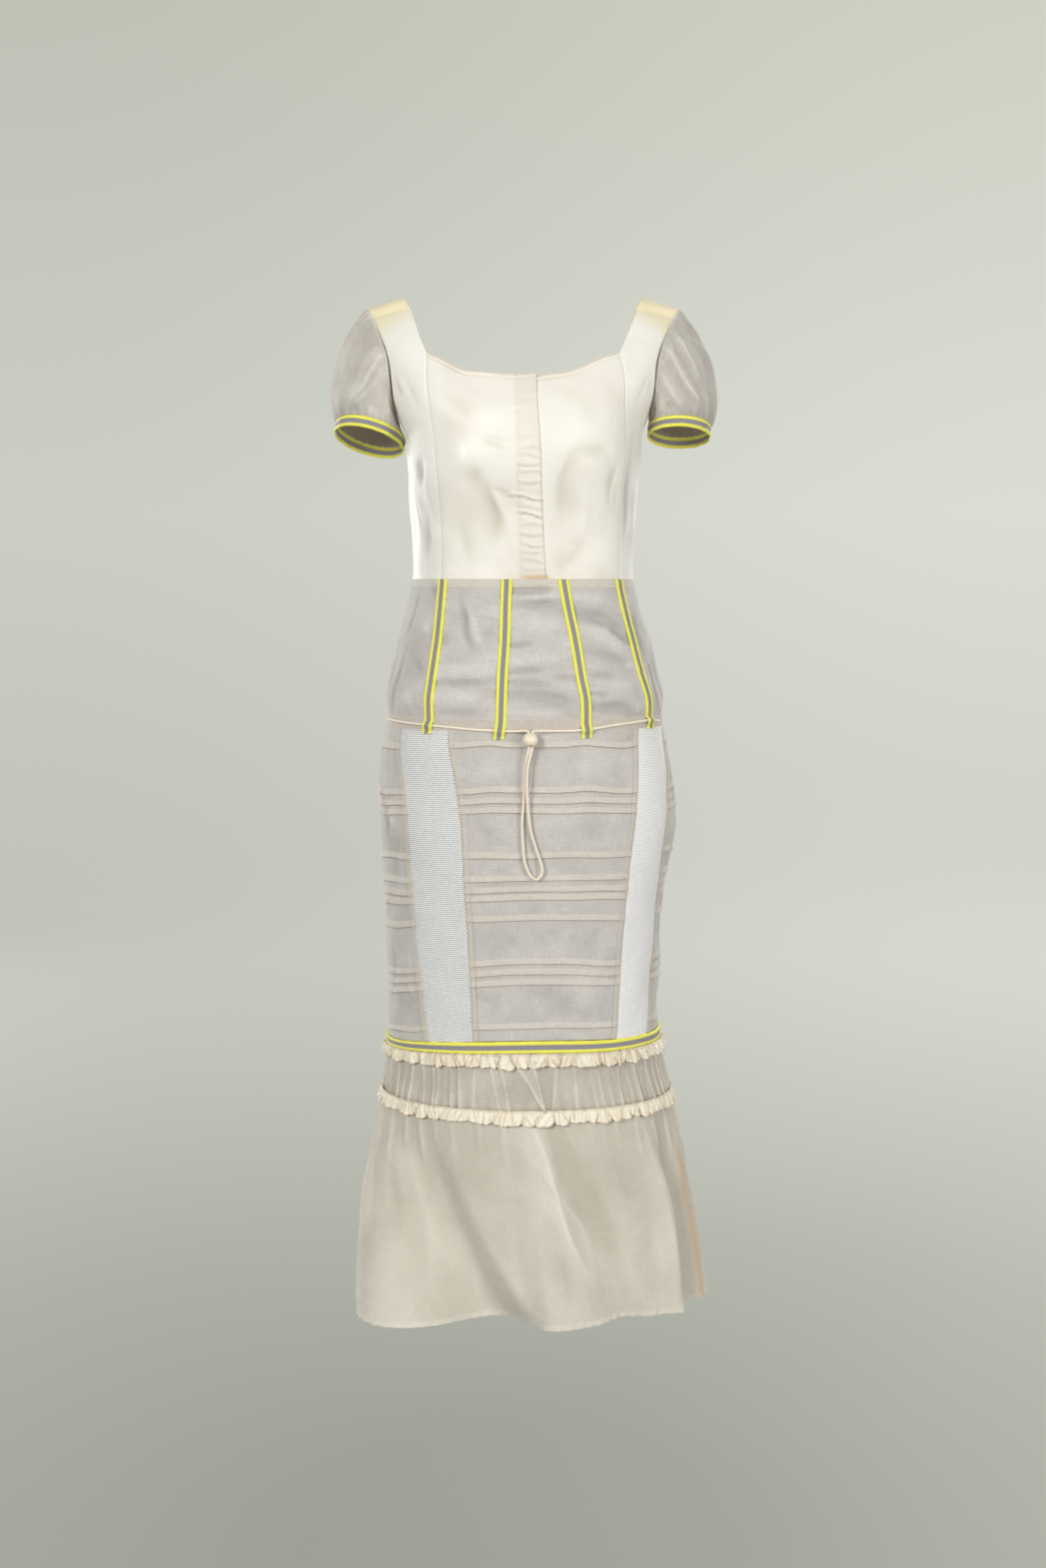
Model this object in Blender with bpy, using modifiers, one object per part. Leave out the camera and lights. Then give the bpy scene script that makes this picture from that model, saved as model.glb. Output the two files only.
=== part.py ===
"""Patchwork dress in its worn, hollow form: satin bodice, puff sleeves, lawn midriff, hips and flounce.

The origin is where the wearer's shoulders hold the dress, with +Z up. The front faces -Y, the wearer's
left is +X and the wearer's right is -X. Tables are in millimetres and degrees. A place on the dress is an
angle from the front, positive towards +X, and a station, the distance down the dress from the shoulders.
"""
import math

import bmesh
import bpy
import numpy as np

MM = 0.001
NAME = "patchwork_dress"

# Cloth
WALL = 1.2
TAPE_WALL = 1.0
SEAM_GAP = 0.3
LAID_ON = 0.6

# The worn form: station, height, half width, centre, front depth, back depth
SECTIONS = np.array([
    (0, 0.0, 190, 0, -7, 7),
    (14, -2.6, 190, 0, 8, 21),
    (32, -9.5, 188, 0, 24, 36),
    (55, -24, 184, 0, 43, 52),
    (84, -46, 178, 0, 63, 68),
    (122, -77, 168, 0, 85, 82),
    (150, -105, 158, 0, 99, 90),
    (180, -135, 144, 0, 111, 94),
    (205, -160, 135, 1, 116, 95),
    (230, -185, 134, 1, 117, 93),
    (262, -217, 132, 0, 111, 88),
    (295, -250, 129.5, 0, 102, 82),
    (337, -292, 127.5, 0, 95, 76),
    (368, -323, 128, 0, 93, 74),
    (390, -345, 133, 0, 95, 77),
    (435, -390, 145, 1, 99, 86),
    (475, -430, 155, 1, 103, 95),
    (500, -455, 161, 2, 106, 101),
    (528, -483, 160, 2, 107, 106),
    (552, -507, 165.5, 1, 109, 110),
    (585, -540, 171, 3, 111, 114),
    (640, -595, 173, 5, 113, 118),
    (690, -645, 169, 3, 112, 117),
    (740, -695, 163.5, 1, 109, 113),
    (800, -755, 160.5, 0, 106, 108),
    (870, -825, 160, 0, 104, 105),
    (915, -870, 162, 1, 104, 105),
    (968, -923, 170, 4, 105, 107),
    (1000, -955, 176, 6, 107, 110),
    (1048, -1003, 184, 7, 110, 114),
    (1097, -1052, 191, 7, 113, 118),
    (1160, -1115, 197, 7, 116, 122),
    (1219, -1174, 200, 7, 118, 125),
], float)
SQUARENESS = 2.25
SHOULDER_SLOPE = 0.36
NECK_X = 136.0
SHOULDER_END = 122.0

# Openings of the bodice: station, angle
NECK_EDGE = np.array([(0, 43.5), (30, 42), (64, 40.5), (98, 38), (118, 36.5), (122, 36.2)], float)
ARMHOLE = np.array([
    (0, 67.5), (34, 66.5), (73, 63.5), (99, 62), (121, 62.5), (136, 64.5), (152, 69), (166, 76),
    (177, 83), (182, 90),
], float)
NECK_FOOT = 118.0
ARMHOLE_FOOT = 182.0
STRAP_SEAM = 50.0
STRAP_COLUMNS = 5
# Stations of a back strap's rows, from the back over the shoulder line to its seam in front
STRAP_ROWS = (-118.0, -98.0, -78.0, -58.0, -38.0, -20.0, -10.0, 0.0, 10.0, 20.0, 35.0, 50.0)
# angle, station of the top edge
FRONT_NECKLINE = np.array([
    (-36.8, 118), (-30.8, 126.3), (-24.6, 136), (-20.6, 140.7), (-14.7, 142.2), (-7.3, 144.7),
    (-1.8, 145.8), (4.2, 144.7), (12.1, 144.5), (19.7, 137.5), (27.6, 126.6), (36.8, 118),
], float)
BACK_NECK_DIP = 8.0
# Stations of the rows that all the bodice's panels share
BODICE_ROWS = (118.0, 134.0, 150.0, 162.0, 173.0, 182.0, 208.0, 236.0, 262.0, 292.0, 328.0, 366.0)

# Long seams: station, angle
PRINCESS_RIGHT = np.array([(118, -36.8), (170, -42.5), (200, -45.8), (266, -43.3), (366, -44)], float)
PRINCESS_LEFT = np.array([(118, 36.8), (175, 49), (212, 56.5), (265, 56), (366, 57.3)], float)
PLACKET_RIGHT = np.array([(118, -1.8), (248, -1.5), (366, -0.4)], float)
PLACKET_LEFT = np.array([(118, 3.8), (195, 5.5), (301, 7.6), (366, 9.1)], float)
MESH_RIGHT_OUTER = np.array([
    (533, -58.5), (591, -51.5), (640, -49.6), (700, -48.6), (750, -47.4), (798, -45.2), (887, -40.1)], float)
MESH_RIGHT_INNER = np.array([
    (533, -29.5), (588, -25), (640, -23), (700, -21.8), (793, -19.9), (887, -18.4)], float)
MESH_LEFT_INNER = np.array([(533, 51.4), (590, 45), (640, 42.4), (750, 42.5), (843, 41), (887, 39.5)], float)
MESH_LEFT_OUTER = np.array([(533, 80), (594, 69), (640, 66), (750, 68.5), (806, 68), (887, 62.2)], float)
SIDE_RIGHT = np.array([(533, -67), (640, -62.5), (740, -61.5), (887, -60)], float)
SIDE_LEFT = np.array([(533, 91), (887, 90)], float)

# Levels of the cross seams at the centre front
WAIST = 366.0
CORD_LEVEL = 533.0
HIP_TAPE_TOP = 887.3
HIP_TAPE_FOOT = 901.6
BAND_FOOT = 968.0
HEM = 1219.0
# How much lower than at the front a level lies at the sides: angle, share
SAG_SHARE = np.array([
    (-180, 0.3), (-120, 0.8), (-84, 1), (-57, 0.75), (-30, 0.3), (6, 0), (40, 0.2), (84, 0.3), (130, 0.3),
    (180, 0.3)], float)
# station, drop at the wearer's right side
SAG_DROP = np.array([
    (0, 0), (300, 2), (540, 4), (560, 9), (640, 10), (700, 14), (750, 24), (845, 24), (875, 20), (890, 13),
    (905, 8), (930, 3), (1219, 3)], float)

# Horizontal tucks of the hips
TUCK_EDGES = (552, 602, 614, 625, 675, 700.5, 713.5, 723, 746.5, 798, 809.5, 821, 871.7)
TUCK_HEIGHT = 6.3
TUCK_RAISE = 1.3
TUCK_UNDERLIP = 0.5
TUCK_SPACING = 14.0
PLAIN_ROWS = (533.5, 577.0, 650.0, 772.0, 846.0, 887.0)
MIDRIFF_COLUMNS = {"front": 21, "back": 13}
MIDRIFF_ROWS = (366.0, 392.0, 420.0, 448.0, 476.0, 500.0, 514.0, 524.0, 533.0)

# Striped tapes on the midriff: angle at the waist, at the middle and at the cord, and the cord's station
TAPE_WIDTH = 12.5
TAPE_START = 1.5
TAPES = {
    "tape_1": (-42.3, -39.4, -40.0, 529.0),
    "tape_2": (-6.4, -6.8, -7.9, 534.0),
    "tape_3": (17.9, 21.0, 22.7, 533.0),
    "tape_4": (55.9, 56.6, 60.6, 525.5),
}
# Distance from the cord's station, height over the midriff
TAPE_LOOP = ((-9.0, 0.6), (-4.5, 0.6), (-2.3, 3.2), (0.0, 4.0), (2.3, 3.2), (5.5, 1.0), (9.5, 0.7))

# Drawcord and bead
CORD_DIAMETER = 3.0
CORD_LIFT = 2.0
# angle, station of the stretches that lie on the waist
CORD_FROM_RIGHT = (
    (-74.3, 526.0), (-60.0, 527.2), (-45.5, 528.4), (-30.0, 530.4), (-16.0, 533.0), (-6.5, 534.0))
CORD_TO_LEFT = (
    (14.5, 534.0), (22.7, 533.0), (33.0, 529.5), (48.0, 526.4), (61.0, 525.5), (71.2, 527.6))
# x, y, z of the stretch through the bead and round the hanging loop
CORD_HANGING = (
    (-4.0, -112.6, -487.6), (1.8, -116.4, -485.4), (6.1, -118.3, -487.4), (6.5, -118.4, -491.5),
    (6.5, -118.4, -499.0), (6.5, -118.4, -507.5), (2.8, -117.2, -528.0), (1.7, -117.0, -556.0),
    (-0.6, -117.0, -583.0), (-0.6, -117.0, -603.0), (0.8, -117.0, -625.0), (3.0, -117.0, -638.0),
    (8.4, -117.0, -649.5), (15.0, -117.0, -654.2), (20.2, -117.0, -649.5), (21.4, -117.0, -641.0),
    (18.4, -117.0, -630.5), (13.9, -117.0, -617.0), (9.4, -117.4, -602.0), (6.4, -119.0, -583.0),
    (4.6, -120.6, -560.0), (5.2, -120.8, -530.0), (10.1, -118.4, -507.5), (10.1, -118.4, -499.0),
    (10.1, -118.4, -491.5), (10.5, -118.3, -487.4), (14.8, -116.4, -485.4), (20.6, -112.4, -487.4),
)
CORD_SUBDIVISIONS = 2
CORD_LYING_POINTS = 13
BEAD_CENTRE = (8.3, -118.4, -497.6)
BEAD_RADIUS = 8.5
BEAD_BORE = 4.0
BEAD_SIDES = 16
BEAD_ARC_POINTS = 8

# Puff sleeves: cuff centre x and z, drop of the cuff's plane outwards and backwards, half width, half depth
CUFFS = {
    "right": (-175.0, -152.5, -0.22, 0.29, 39.5, 44.0),
    "left": (180.0, -147.0, 0.05, 0.20, 36.0, 44.0),
}
CUFF_HEIGHT = 12.0
CUFF_WALL = 1.4
# Half the angle that the underarm seam leaves open
SLEEVE_SEAM_TURN = 2.0
SLEEVE_COLUMNS = 29
SLEEVE_ROWS = 8
# Reach of a sleeve's curve at the shoulder and at the underarm, from the armhole and from the cuff
SLEEVE_REACH_OUT = (34.0, 1.5)
SLEEVE_REACH_UP = (33.0, 1.0)
SLEEVE_PUFF = (20.0, 0.0)
# Distance from the bodice's edge to the sleeve's first ring
SLEEVE_SET_IN = 1.1
# Direction in which the cloth leaves the armhole: outwards, forwards in front, downwards
SLEEVE_LEAVING = (0.75, 0.5, 0.65)
# Ridges of a sleeve: angle round the armhole at the top and at the cuff, half width, height
SLEEVE_RIDGES = {
    "right": (
        (25, 45, 17, 3.0), (75, 60, 15, 2.4), (110, 95, 14, 2.2), (250, 262, 18, 2.6), (310, 300, 18, 2.6)),
    "left": (
        (20, 8, 13, 2.6), (52, 35, 12, 3.0), (82, 62, 12, 3.0), (112, 92, 12, 2.6), (250, 262, 18, 2.6),
        (310, 300, 18, 2.6)),
}

# Halves of a tube that meet at the sides: name, first and last angle
HALVES = (("front", -90.0, 90.0), ("back", 90.0, 270.0))

# Ruffles and gathers
RUFFLE_WAVES = {"front": 30, "back": 20}
RUFFLE_DEPTH = 2.2
# Share of a pleat's depth at the ruffle's sewn edge
RUFFLE_HELD = 0.25
RUFFLE_WALL = 1.0
RUFFLE_HEIGHT = 15.0
BAND_GATHERS = {"front": 14, "back": 8}
BAND_GATHER_RAISE = 1.2
HIP_TAPE_RAISE = 1.8
HIP_TAPE_SINK = 0.8
HIP_TAPE_COLUMNS = 19

# Folds of the flounce: angle at its top, angle at the hem, half width towards the wearer's right,
# half width towards the left, height at the hem
FLOUNCE_FOLDS = (
    (-78, -50, 32, 34, 42),
    (-46, -7, 24, 6, -34),
    (-1, 6, 7, 20, 16),
    (5, 32, 12, 14, -12),
    (50, 57, 10, 8, 15),
    (60, 67, 8, 9, -18),
    (76, 83, 14, 18, 16),
    (118, 112, 18, 18, 12),
    (148, 142, 16, 16, 14),
    (178, 175, 16, 16, 12),
    (208, 209, 16, 16, 14),
    (240, 243, 18, 18, 12),
)
FOLD_GROWTH = 1.25
FLOUNCE_COLUMNS = {"front": 35, "back": 23}
FLOUNCE_ROWS = (968.0, 984.0, 1015.0, 1056.0, 1097.0, 1138.0, 1179.0, 1219.0)

# Colours: red, green, blue, and roughness
SATIN = ((0.90, 0.86, 0.76), 0.38)
SATIN_SIDE = ((0.90, 0.90, 0.86), 0.38)
SATIN_STRAP = ((0.72, 0.62, 0.34), 0.45)
LAWN = ((0.56, 0.51, 0.43), 0.85)
LAWN_FLOUNCE = ((0.62, 0.56, 0.44), 0.85)
EYELET = ((0.76, 0.77, 0.75), 0.8)
TAPE = ((0.80, 0.75, 0.05), 0.7)
RUFFLE = ((0.86, 0.79, 0.64), 0.5)
CORD = ((0.76, 0.67, 0.52), 0.8)
WOOD = ((0.79, 0.71, 0.51), 0.45)


def curve_through(table, column, x):
    """A smooth curve through a table's points, whose slope at each point comes from its neighbours."""
    xs, ys = table[:, 0], table[:, column]
    x = np.clip(np.asarray(x, float), xs[0], xs[-1])
    slope = np.gradient(ys, xs)
    i = np.clip(np.searchsorted(xs, x, side="right") - 1, 0, len(xs) - 2)
    h = xs[i + 1] - xs[i]
    t = (x - xs[i]) / h
    return (ys[i] * (1 + 2 * t) * (1 - t) ** 2 + ys[i + 1] * t * t * (3 - 2 * t)
            + h * (slope[i] * t * (1 - t) ** 2 - slope[i + 1] * t * t * (1 - t)))


def skin(angle, station):
    """Points of the worn form. A negative station lies behind the shoulder line."""
    angle, station = np.broadcast_arrays(np.asarray(angle, float), np.asarray(station, float))
    s = np.abs(station)
    turned = np.where(station < 0, np.sign(angle) * 180.0 - angle, angle)
    height, half, centre, front, back = (curve_through(SECTIONS, k, s) for k in range(1, 6))
    sine, cosine = np.sin(np.radians(turned)), np.cos(np.radians(turned))
    power = 2.0 / SQUARENESS
    across = half * np.sign(sine) * np.abs(sine) ** power
    depth = np.where(cosine > 0, front, back)
    y = -depth * np.sign(cosine) * np.abs(cosine) ** power
    on_shoulder = np.clip(1 - s / SHOULDER_END, 0, 1)
    z = height - SHOULDER_SLOPE * np.maximum(np.abs(across) - NECK_X, 0) * on_shoulder
    return np.stack([centre + across, y, z], -1)


def unit(vectors):
    return vectors / np.maximum(np.linalg.norm(vectors, axis=-1, keepdims=True), 1e-9)


def skin_normal(angle, station):
    """Outward directions of the worn form, from its slopes along and across."""
    along = skin(angle, station + 2.0) - skin(angle, station - 2.0)
    across = skin(angle + 0.5, station) - skin(angle - 0.5, station)
    return unit(np.cross(along, across))


def sag(angle, station):
    """How far below its level at the centre front a seam lies at an angle."""
    turned = (np.asarray(angle, float) + 180.0) % 360.0 - 180.0
    return curve_through(SAG_SHARE, 1, turned) * curve_through(SAG_DROP, 1, station)


def flounce_fold(angle, station):
    """Height of the flounce's folds over the worn form, growing from its top to the hem."""
    fall = np.clip((station - BAND_FOOT) / (HEM - BAND_FOOT), 0, 1)
    height = np.zeros(np.broadcast(angle, station).shape)
    for top, foot, right_half, left_half, raised in FLOUNCE_FOLDS:
        middle = top + (foot - top) * fall
        away = (angle - middle + 180.0) % 360.0 - 180.0
        share = np.clip(away / np.where(away < 0, right_half, left_half), -1, 1)
        height += raised * fall ** FOLD_GROWTH * np.cos(0.5 * math.pi * share) ** 2
    return height


def part_collection():
    collection = bpy.data.collections.new(NAME)
    bpy.context.scene.collection.children.link(collection)
    return collection


def material(name, look):
    colour, roughness = look
    made = bpy.data.materials.new(name)
    made.use_nodes = True
    shader = made.node_tree.nodes["Principled BSDF"]
    shader.inputs["Base Color"].default_value = (*colour, 1.0)
    shader.inputs["Roughness"].default_value = roughness
    shader.inputs["Metallic"].default_value = 0.0
    return made


def add_object(name, data, look):
    made = bpy.data.objects.new(name, data)
    data.materials.append(material(name, look))
    bpy.data.collections[NAME].objects.link(made)
    return made


def trimmed(points):
    """Draw a sheet's four edges in by half a seam gap."""
    points = points.copy()
    half_gap = 0.5 * SEAM_GAP
    points[0] += half_gap * unit(points[1] - points[0])
    points[-1] += half_gap * unit(points[-2] - points[-1])
    points[:, 0] += half_gap * unit(points[:, 1] - points[:, 0])
    points[:, -1] += half_gap * unit(points[:, -2] - points[:, -1])
    return points


def sheet(name, outer, inner, look):
    """A cloth piece: a grid extruded once, its two layers placed on the outer and inner points."""
    rows, columns = outer.shape[:2]
    outer, inner = trimmed(outer), trimmed(inner)
    bm = bmesh.new()
    bmesh.ops.create_grid(bm, x_segments=columns - 1, y_segments=rows - 1, size=1.0)
    bmesh.ops.triangulate(bm, faces=bm.faces[:], quad_method="ALTERNATE")
    grid = set(bm.verts)
    bmesh.ops.extrude_face_region(bm, geom=bm.faces[:], use_keep_orig=True)
    for vert in bm.verts:
        row = round((vert.co.y + 1) / 2 * (rows - 1))
        column = round((vert.co.x + 1) / 2 * (columns - 1))
        layer = inner if vert in grid else outer
        vert.co = layer[row, column] * MM
    bmesh.ops.recalc_face_normals(bm, faces=bm.faces[:])
    if bm.calc_volume(signed=True) < 0:
        bmesh.ops.reverse_faces(bm, faces=bm.faces[:])
    mesh = bpy.data.meshes.new(name)
    bm.to_mesh(mesh)
    bm.free()
    mesh.shade_smooth()
    mesh.set_sharp_from_angle(angle=math.radians(40))
    return add_object(name, mesh, look)


def on_skin(name, angle, station, look, outer=0.0, inner=-WALL):
    """A cloth piece whose two layers stand at given heights over the worn form."""
    points, normals = skin(angle, station), skin_normal(angle, station)
    shape = points.shape[:2]
    outer, inner = np.broadcast_to(outer, shape), np.broadcast_to(inner, shape)
    return sheet(name, points + normals * outer[..., None], points + normals * inner[..., None], look)


def between(low, high, columns):
    """Angles of a grid whose rows run evenly from one seam to the other."""
    low, high = np.atleast_1d(low), np.atleast_1d(high)
    share = np.linspace(0, 1, columns)
    return low[:, None] + (high - low)[:, None] * share[None, :]


def seam(table, stations):
    return curve_through(table, 1, stations)


def even(first, last, count):
    return np.linspace(first, last, count)


def make_bodice():
    rows = np.array(BODICE_ROWS)
    fade = ((WAIST - rows) / (WAIST - NECK_FOOT))[:, None] ** 1.5
    fronts = {
        "bodice_front_right": (seam(PRINCESS_RIGHT, rows), seam(PLACKET_RIGHT, rows), 7),
        "placket": (seam(PLACKET_RIGHT, rows), seam(PLACKET_LEFT, rows), 3),
        "bodice_front_left": (seam(PLACKET_LEFT, rows), seam(PRINCESS_LEFT, rows), 7),
    }
    for name, (low, high, columns) in fronts.items():
        angle = between(low, high, columns)
        station = rows[:, None] + fade * (curve_through(FRONT_NECKLINE, 1, angle) - NECK_FOOT)
        station = station + sag(angle, station)
        on_skin(name, angle, station, SATIN)
    side_rows = np.concatenate([even(STRAP_SEAM, NECK_FOOT, STRAP_COLUMNS)[:-1], rows])
    armhole = np.where(side_rows < ARMHOLE_FOOT, seam(ARMHOLE, side_rows), 90.0)
    for side, sign, princess in (("right", -1, PRINCESS_RIGHT), ("left", 1, PRINCESS_LEFT)):
        at_neck = side_rows < NECK_FOOT
        inner_edge = np.where(at_neck, sign * seam(NECK_EDGE, side_rows), seam(princess, side_rows))
        angle = between(inner_edge, sign * armhole, STRAP_COLUMNS)
        station = side_rows[:, None] + sag(angle, side_rows[:, None])
        on_skin("side_front_" + side, angle, station, SATIN_SIDE)
        strap_rows = np.array(STRAP_ROWS)
        depth = np.abs(strap_rows)
        angle = sign * between(seam(NECK_EDGE, depth), seam(ARMHOLE, depth), STRAP_COLUMNS)
        on_skin("strap_" + side, angle, np.broadcast_to(strap_rows[:, None], angle.shape), SATIN_STRAP)
    armhole = np.where(rows < ARMHOLE_FOOT, seam(ARMHOLE, rows), 90.0)
    angle = between(180.0 - armhole, 180.0 + armhole, 15)
    dip = BACK_NECK_DIP * np.clip(1 - ((angle - 180.0) / seam(NECK_EDGE, NECK_FOOT)) ** 2, 0, 1)
    station = rows[:, None] + dip * ((WAIST - rows) / (WAIST - NECK_FOOT))[:, None]
    on_skin("bodice_back", angle, station + sag(angle, station), SATIN)


def armhole_point(turn, side):
    """Point of the armhole at a turn round it: 0 at the shoulder, 90 in front, 180 under the arm."""
    sign = -1.0 if side == "right" else 1.0
    front = np.sin(np.radians(turn)) >= 0
    share = np.where(turn > 180.0, 360.0 - turn, turn) / 180.0
    station = ARMHOLE_FOOT * np.sin(0.5 * math.pi * share) ** 1.15
    angle = sign * seam(ARMHOLE, station)
    station = np.where(front, station, -station)
    return skin(angle, station) + skin_normal(angle, station) * (SEAM_GAP + 0.1)


def cuff_point(turn, side, drop):
    """Point of a cuff's ring, a distance below its top."""
    x, z, out_drop, back_drop, half_width, half_depth = CUFFS[side]
    sign = -1.0 if side == "right" else 1.0
    out = half_width * np.cos(np.radians(turn))
    forward = half_depth * np.sin(np.radians(turn))
    height = z - out_drop * out + back_drop * forward
    down = unit(np.array([-sign * out_drop, 0.5 * back_drop, -1.0]))
    return np.stack([x + sign * out, -forward, height], -1) + down * np.asarray(drop)[..., None]


def between_ends(pair, turn):
    """Value at a turn round the sleeve, from the one at the shoulder to the one at the underarm."""
    return 0.5 * (pair[0] + pair[1]) + 0.5 * (pair[0] - pair[1]) * np.cos(np.radians(turn))


def sleeve_surface(turn, fall, side):
    """A Bezier curve for each turn, from the armhole out over the puff and in to the cuff's top."""
    sign = -1.0 if side == "right" else 1.0
    cosine, sine = np.cos(np.radians(turn)), np.sin(np.radians(turn))
    out, forward, down = SLEEVE_LEAVING
    leaving = unit(np.stack([sign * np.full(turn.shape, out), -forward * sine, -down * np.abs(cosine)], -1))
    start = armhole_point(turn, side) + leaving * SLEEVE_SET_IN
    end = cuff_point(turn, side, np.full(turn.shape, -SEAM_GAP))
    outwards = np.stack([sign * cosine, -sine, np.zeros(turn.shape)], -1)
    first = start + leaving * between_ends(SLEEVE_REACH_OUT, turn)[..., None]
    second = end + outwards * between_ends(SLEEVE_PUFF, turn)[..., None]
    second[..., 2] += between_ends(SLEEVE_REACH_UP, turn)
    t = fall[..., None]
    return (start * (1 - t) ** 3 + first * 3 * t * (1 - t) ** 2 + second * 3 * t * t * (1 - t) + end * t ** 3)


def grid_normal(points):
    """Directions across a grid of points, from its slopes along rows and columns."""
    return unit(np.cross(np.gradient(points, axis=0), np.gradient(points, axis=1)))


def sleeve_ridge(turn, fall, side):
    height = np.zeros(turn.shape)
    for top, foot, half, raised in SLEEVE_RIDGES[side]:
        share = np.clip((turn - top - (foot - top) * fall) / half, -1, 1)
        height += raised * np.cos(0.5 * math.pi * share) ** 2
    return height * np.sin(math.pi * fall)


def make_sleeve(side):
    """The sleeve's cloth and the striped cuff, both open along the underarm."""
    turns = even(SLEEVE_SEAM_TURN - 180, 180 - SLEEVE_SEAM_TURN, SLEEVE_COLUMNS) % 360.0
    turn, fall = np.meshgrid(turns, even(0, 1, SLEEVE_ROWS))
    points = sleeve_surface(turn, fall, side)
    normals = grid_normal(points) * (1.0 if side == "right" else -1.0)
    outer = points + normals * sleeve_ridge(turn, fall, side)[..., None]
    sheet("sleeve_" + side, outer, outer - normals * WALL, LAWN)
    turn, drop = np.meshgrid(turns, even(0, CUFF_HEIGHT, 2))
    points = cuff_point(turn, side, drop)
    outwards = unit(np.stack([points[..., 0] - CUFFS[side][0], points[..., 1], np.zeros(turn.shape)], -1))
    sheet("cuff_" + side, points, points - outwards * CUFF_WALL, TAPE)


def make_midriff():
    rows = np.array(MIDRIFF_ROWS)
    for half, low, high in HALVES:
        name, columns = "midriff_" + half, MIDRIFF_COLUMNS[half]
        angle = between(low, high, columns)
        on_skin(name, angle, rows[:, None] + sag(angle, rows[:, None]), LAWN)


def make_tape(name):
    """A striped tape down the midriff that rises over the cord and turns back to the cloth."""
    at_waist, at_middle, at_cord, cord_station = TAPES[name]
    first = WAIST + TAPE_START
    loop = np.array(TAPE_LOOP)
    shared = [row for row in MIDRIFF_ROWS if first < row < cord_station + loop[0, 0]]
    rows = np.concatenate([[first], shared, cord_station + loop[:, 0]])
    height = np.interp(rows, cord_station + loop[:, 0], loop[:, 1], left=LAID_ON)
    share = (rows - first) / (cord_station - first)
    middle = at_waist + (4 * at_middle - 3 * at_waist - at_cord) * share + \
        2 * (at_waist + at_cord - 2 * at_middle) * share ** 2
    degree = np.linalg.norm(skin(middle + 0.5, rows) - skin(middle - 0.5, rows), axis=-1)
    half = 0.5 * TAPE_WIDTH / degree
    angle = between(middle - half, middle + half, 2)
    station = np.broadcast_to(rows[:, None], angle.shape)
    height = np.broadcast_to(height[:, None], angle.shape)
    on_skin(name, angle, station, TAPE, outer=height + TAPE_WALL, inner=height)


def smooth_route(points, subdivisions):
    """Points of a smooth curve through a route: each stretch bends to suit the points beside it."""
    points = np.array(points)
    padded = np.vstack([2 * points[0] - points[1], points, 2 * points[-1] - points[-2]])
    before, start, end, after = padded[:-3], padded[1:-2], padded[2:-1], padded[3:]
    made = []
    for t in np.arange(subdivisions) / subdivisions:
        made.append(0.5 * (2 * start + (end - before) * t + (2 * before - 5 * start + 4 * end - after) * t * t
                           + (3 * start - before - 3 * end + after) * t ** 3))
    stretched = np.stack(made, 1).reshape(-1, 3)
    return np.vstack([stretched, points[-1]])


def lying_cord(stretch):
    """Points of a stretch of cord that lies on the waist."""
    route = np.array(stretch)
    angle = even(route[0, 0], route[-1, 0], CORD_LYING_POINTS)
    station = curve_through(route, 1, angle)
    return skin(angle, station) + skin_normal(angle, station) * CORD_LIFT


def make_cord():
    hanging = smooth_route(CORD_HANGING, CORD_SUBDIVISIONS)
    points = np.vstack([lying_cord(CORD_FROM_RIGHT), hanging, lying_cord(CORD_TO_LEFT)]) * MM
    curve = bpy.data.curves.new("drawcord", "CURVE")
    curve.dimensions = "3D"
    curve.bevel_depth = 0.5 * CORD_DIAMETER * MM
    curve.bevel_resolution = 2
    curve.use_fill_caps = True
    line = curve.splines.new("POLY")
    line.points.add(len(points) - 1)
    for place, point in zip(line.points, points):
        place.co = (*point, 1.0)
    add_object("drawcord", curve, CORD)


def make_bead():
    """A turned bead: half its section, bored through, swept round the Z axis."""
    bore_turn = math.asin(BEAD_BORE / BEAD_RADIUS)
    turns = even(bore_turn, math.pi - bore_turn, BEAD_ARC_POINTS)
    radius = BEAD_RADIUS * MM
    bm = bmesh.new()
    outline = [bm.verts.new((radius * math.sin(turn), 0, radius * math.cos(turn))) for turn in turns]
    for first, second in zip(outline, outline[1:] + outline[:1]):
        bm.edges.new((first, second))
    mesh = bpy.data.meshes.new("bead")
    bm.to_mesh(mesh)
    bm.free()
    bead = add_object("bead", mesh, WOOD)
    bead.location = [value * MM for value in BEAD_CENTRE]
    screw = bead.modifiers.new("turn", "SCREW")
    screw.steps = BEAD_SIDES
    screw.render_steps = BEAD_SIDES
    screw.use_merge_vertices = True
    screw.merge_threshold = 0.00001


def skirt_rows():
    """Stations of the hips' rows, each with its height: plain cloth, or a tuck's start, edge and underlip."""
    rows = [(station, 0.0) for station in PLAIN_ROWS]
    for above, edge in zip((CORD_LEVEL, *TUCK_EDGES), TUCK_EDGES):
        if edge - above > TUCK_SPACING:
            rows.append((edge - TUCK_HEIGHT, 0.0))
        rows += [(edge, TUCK_RAISE), (edge + TUCK_UNDERLIP, 0.0)]
    return np.array(sorted(rows))


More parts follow.
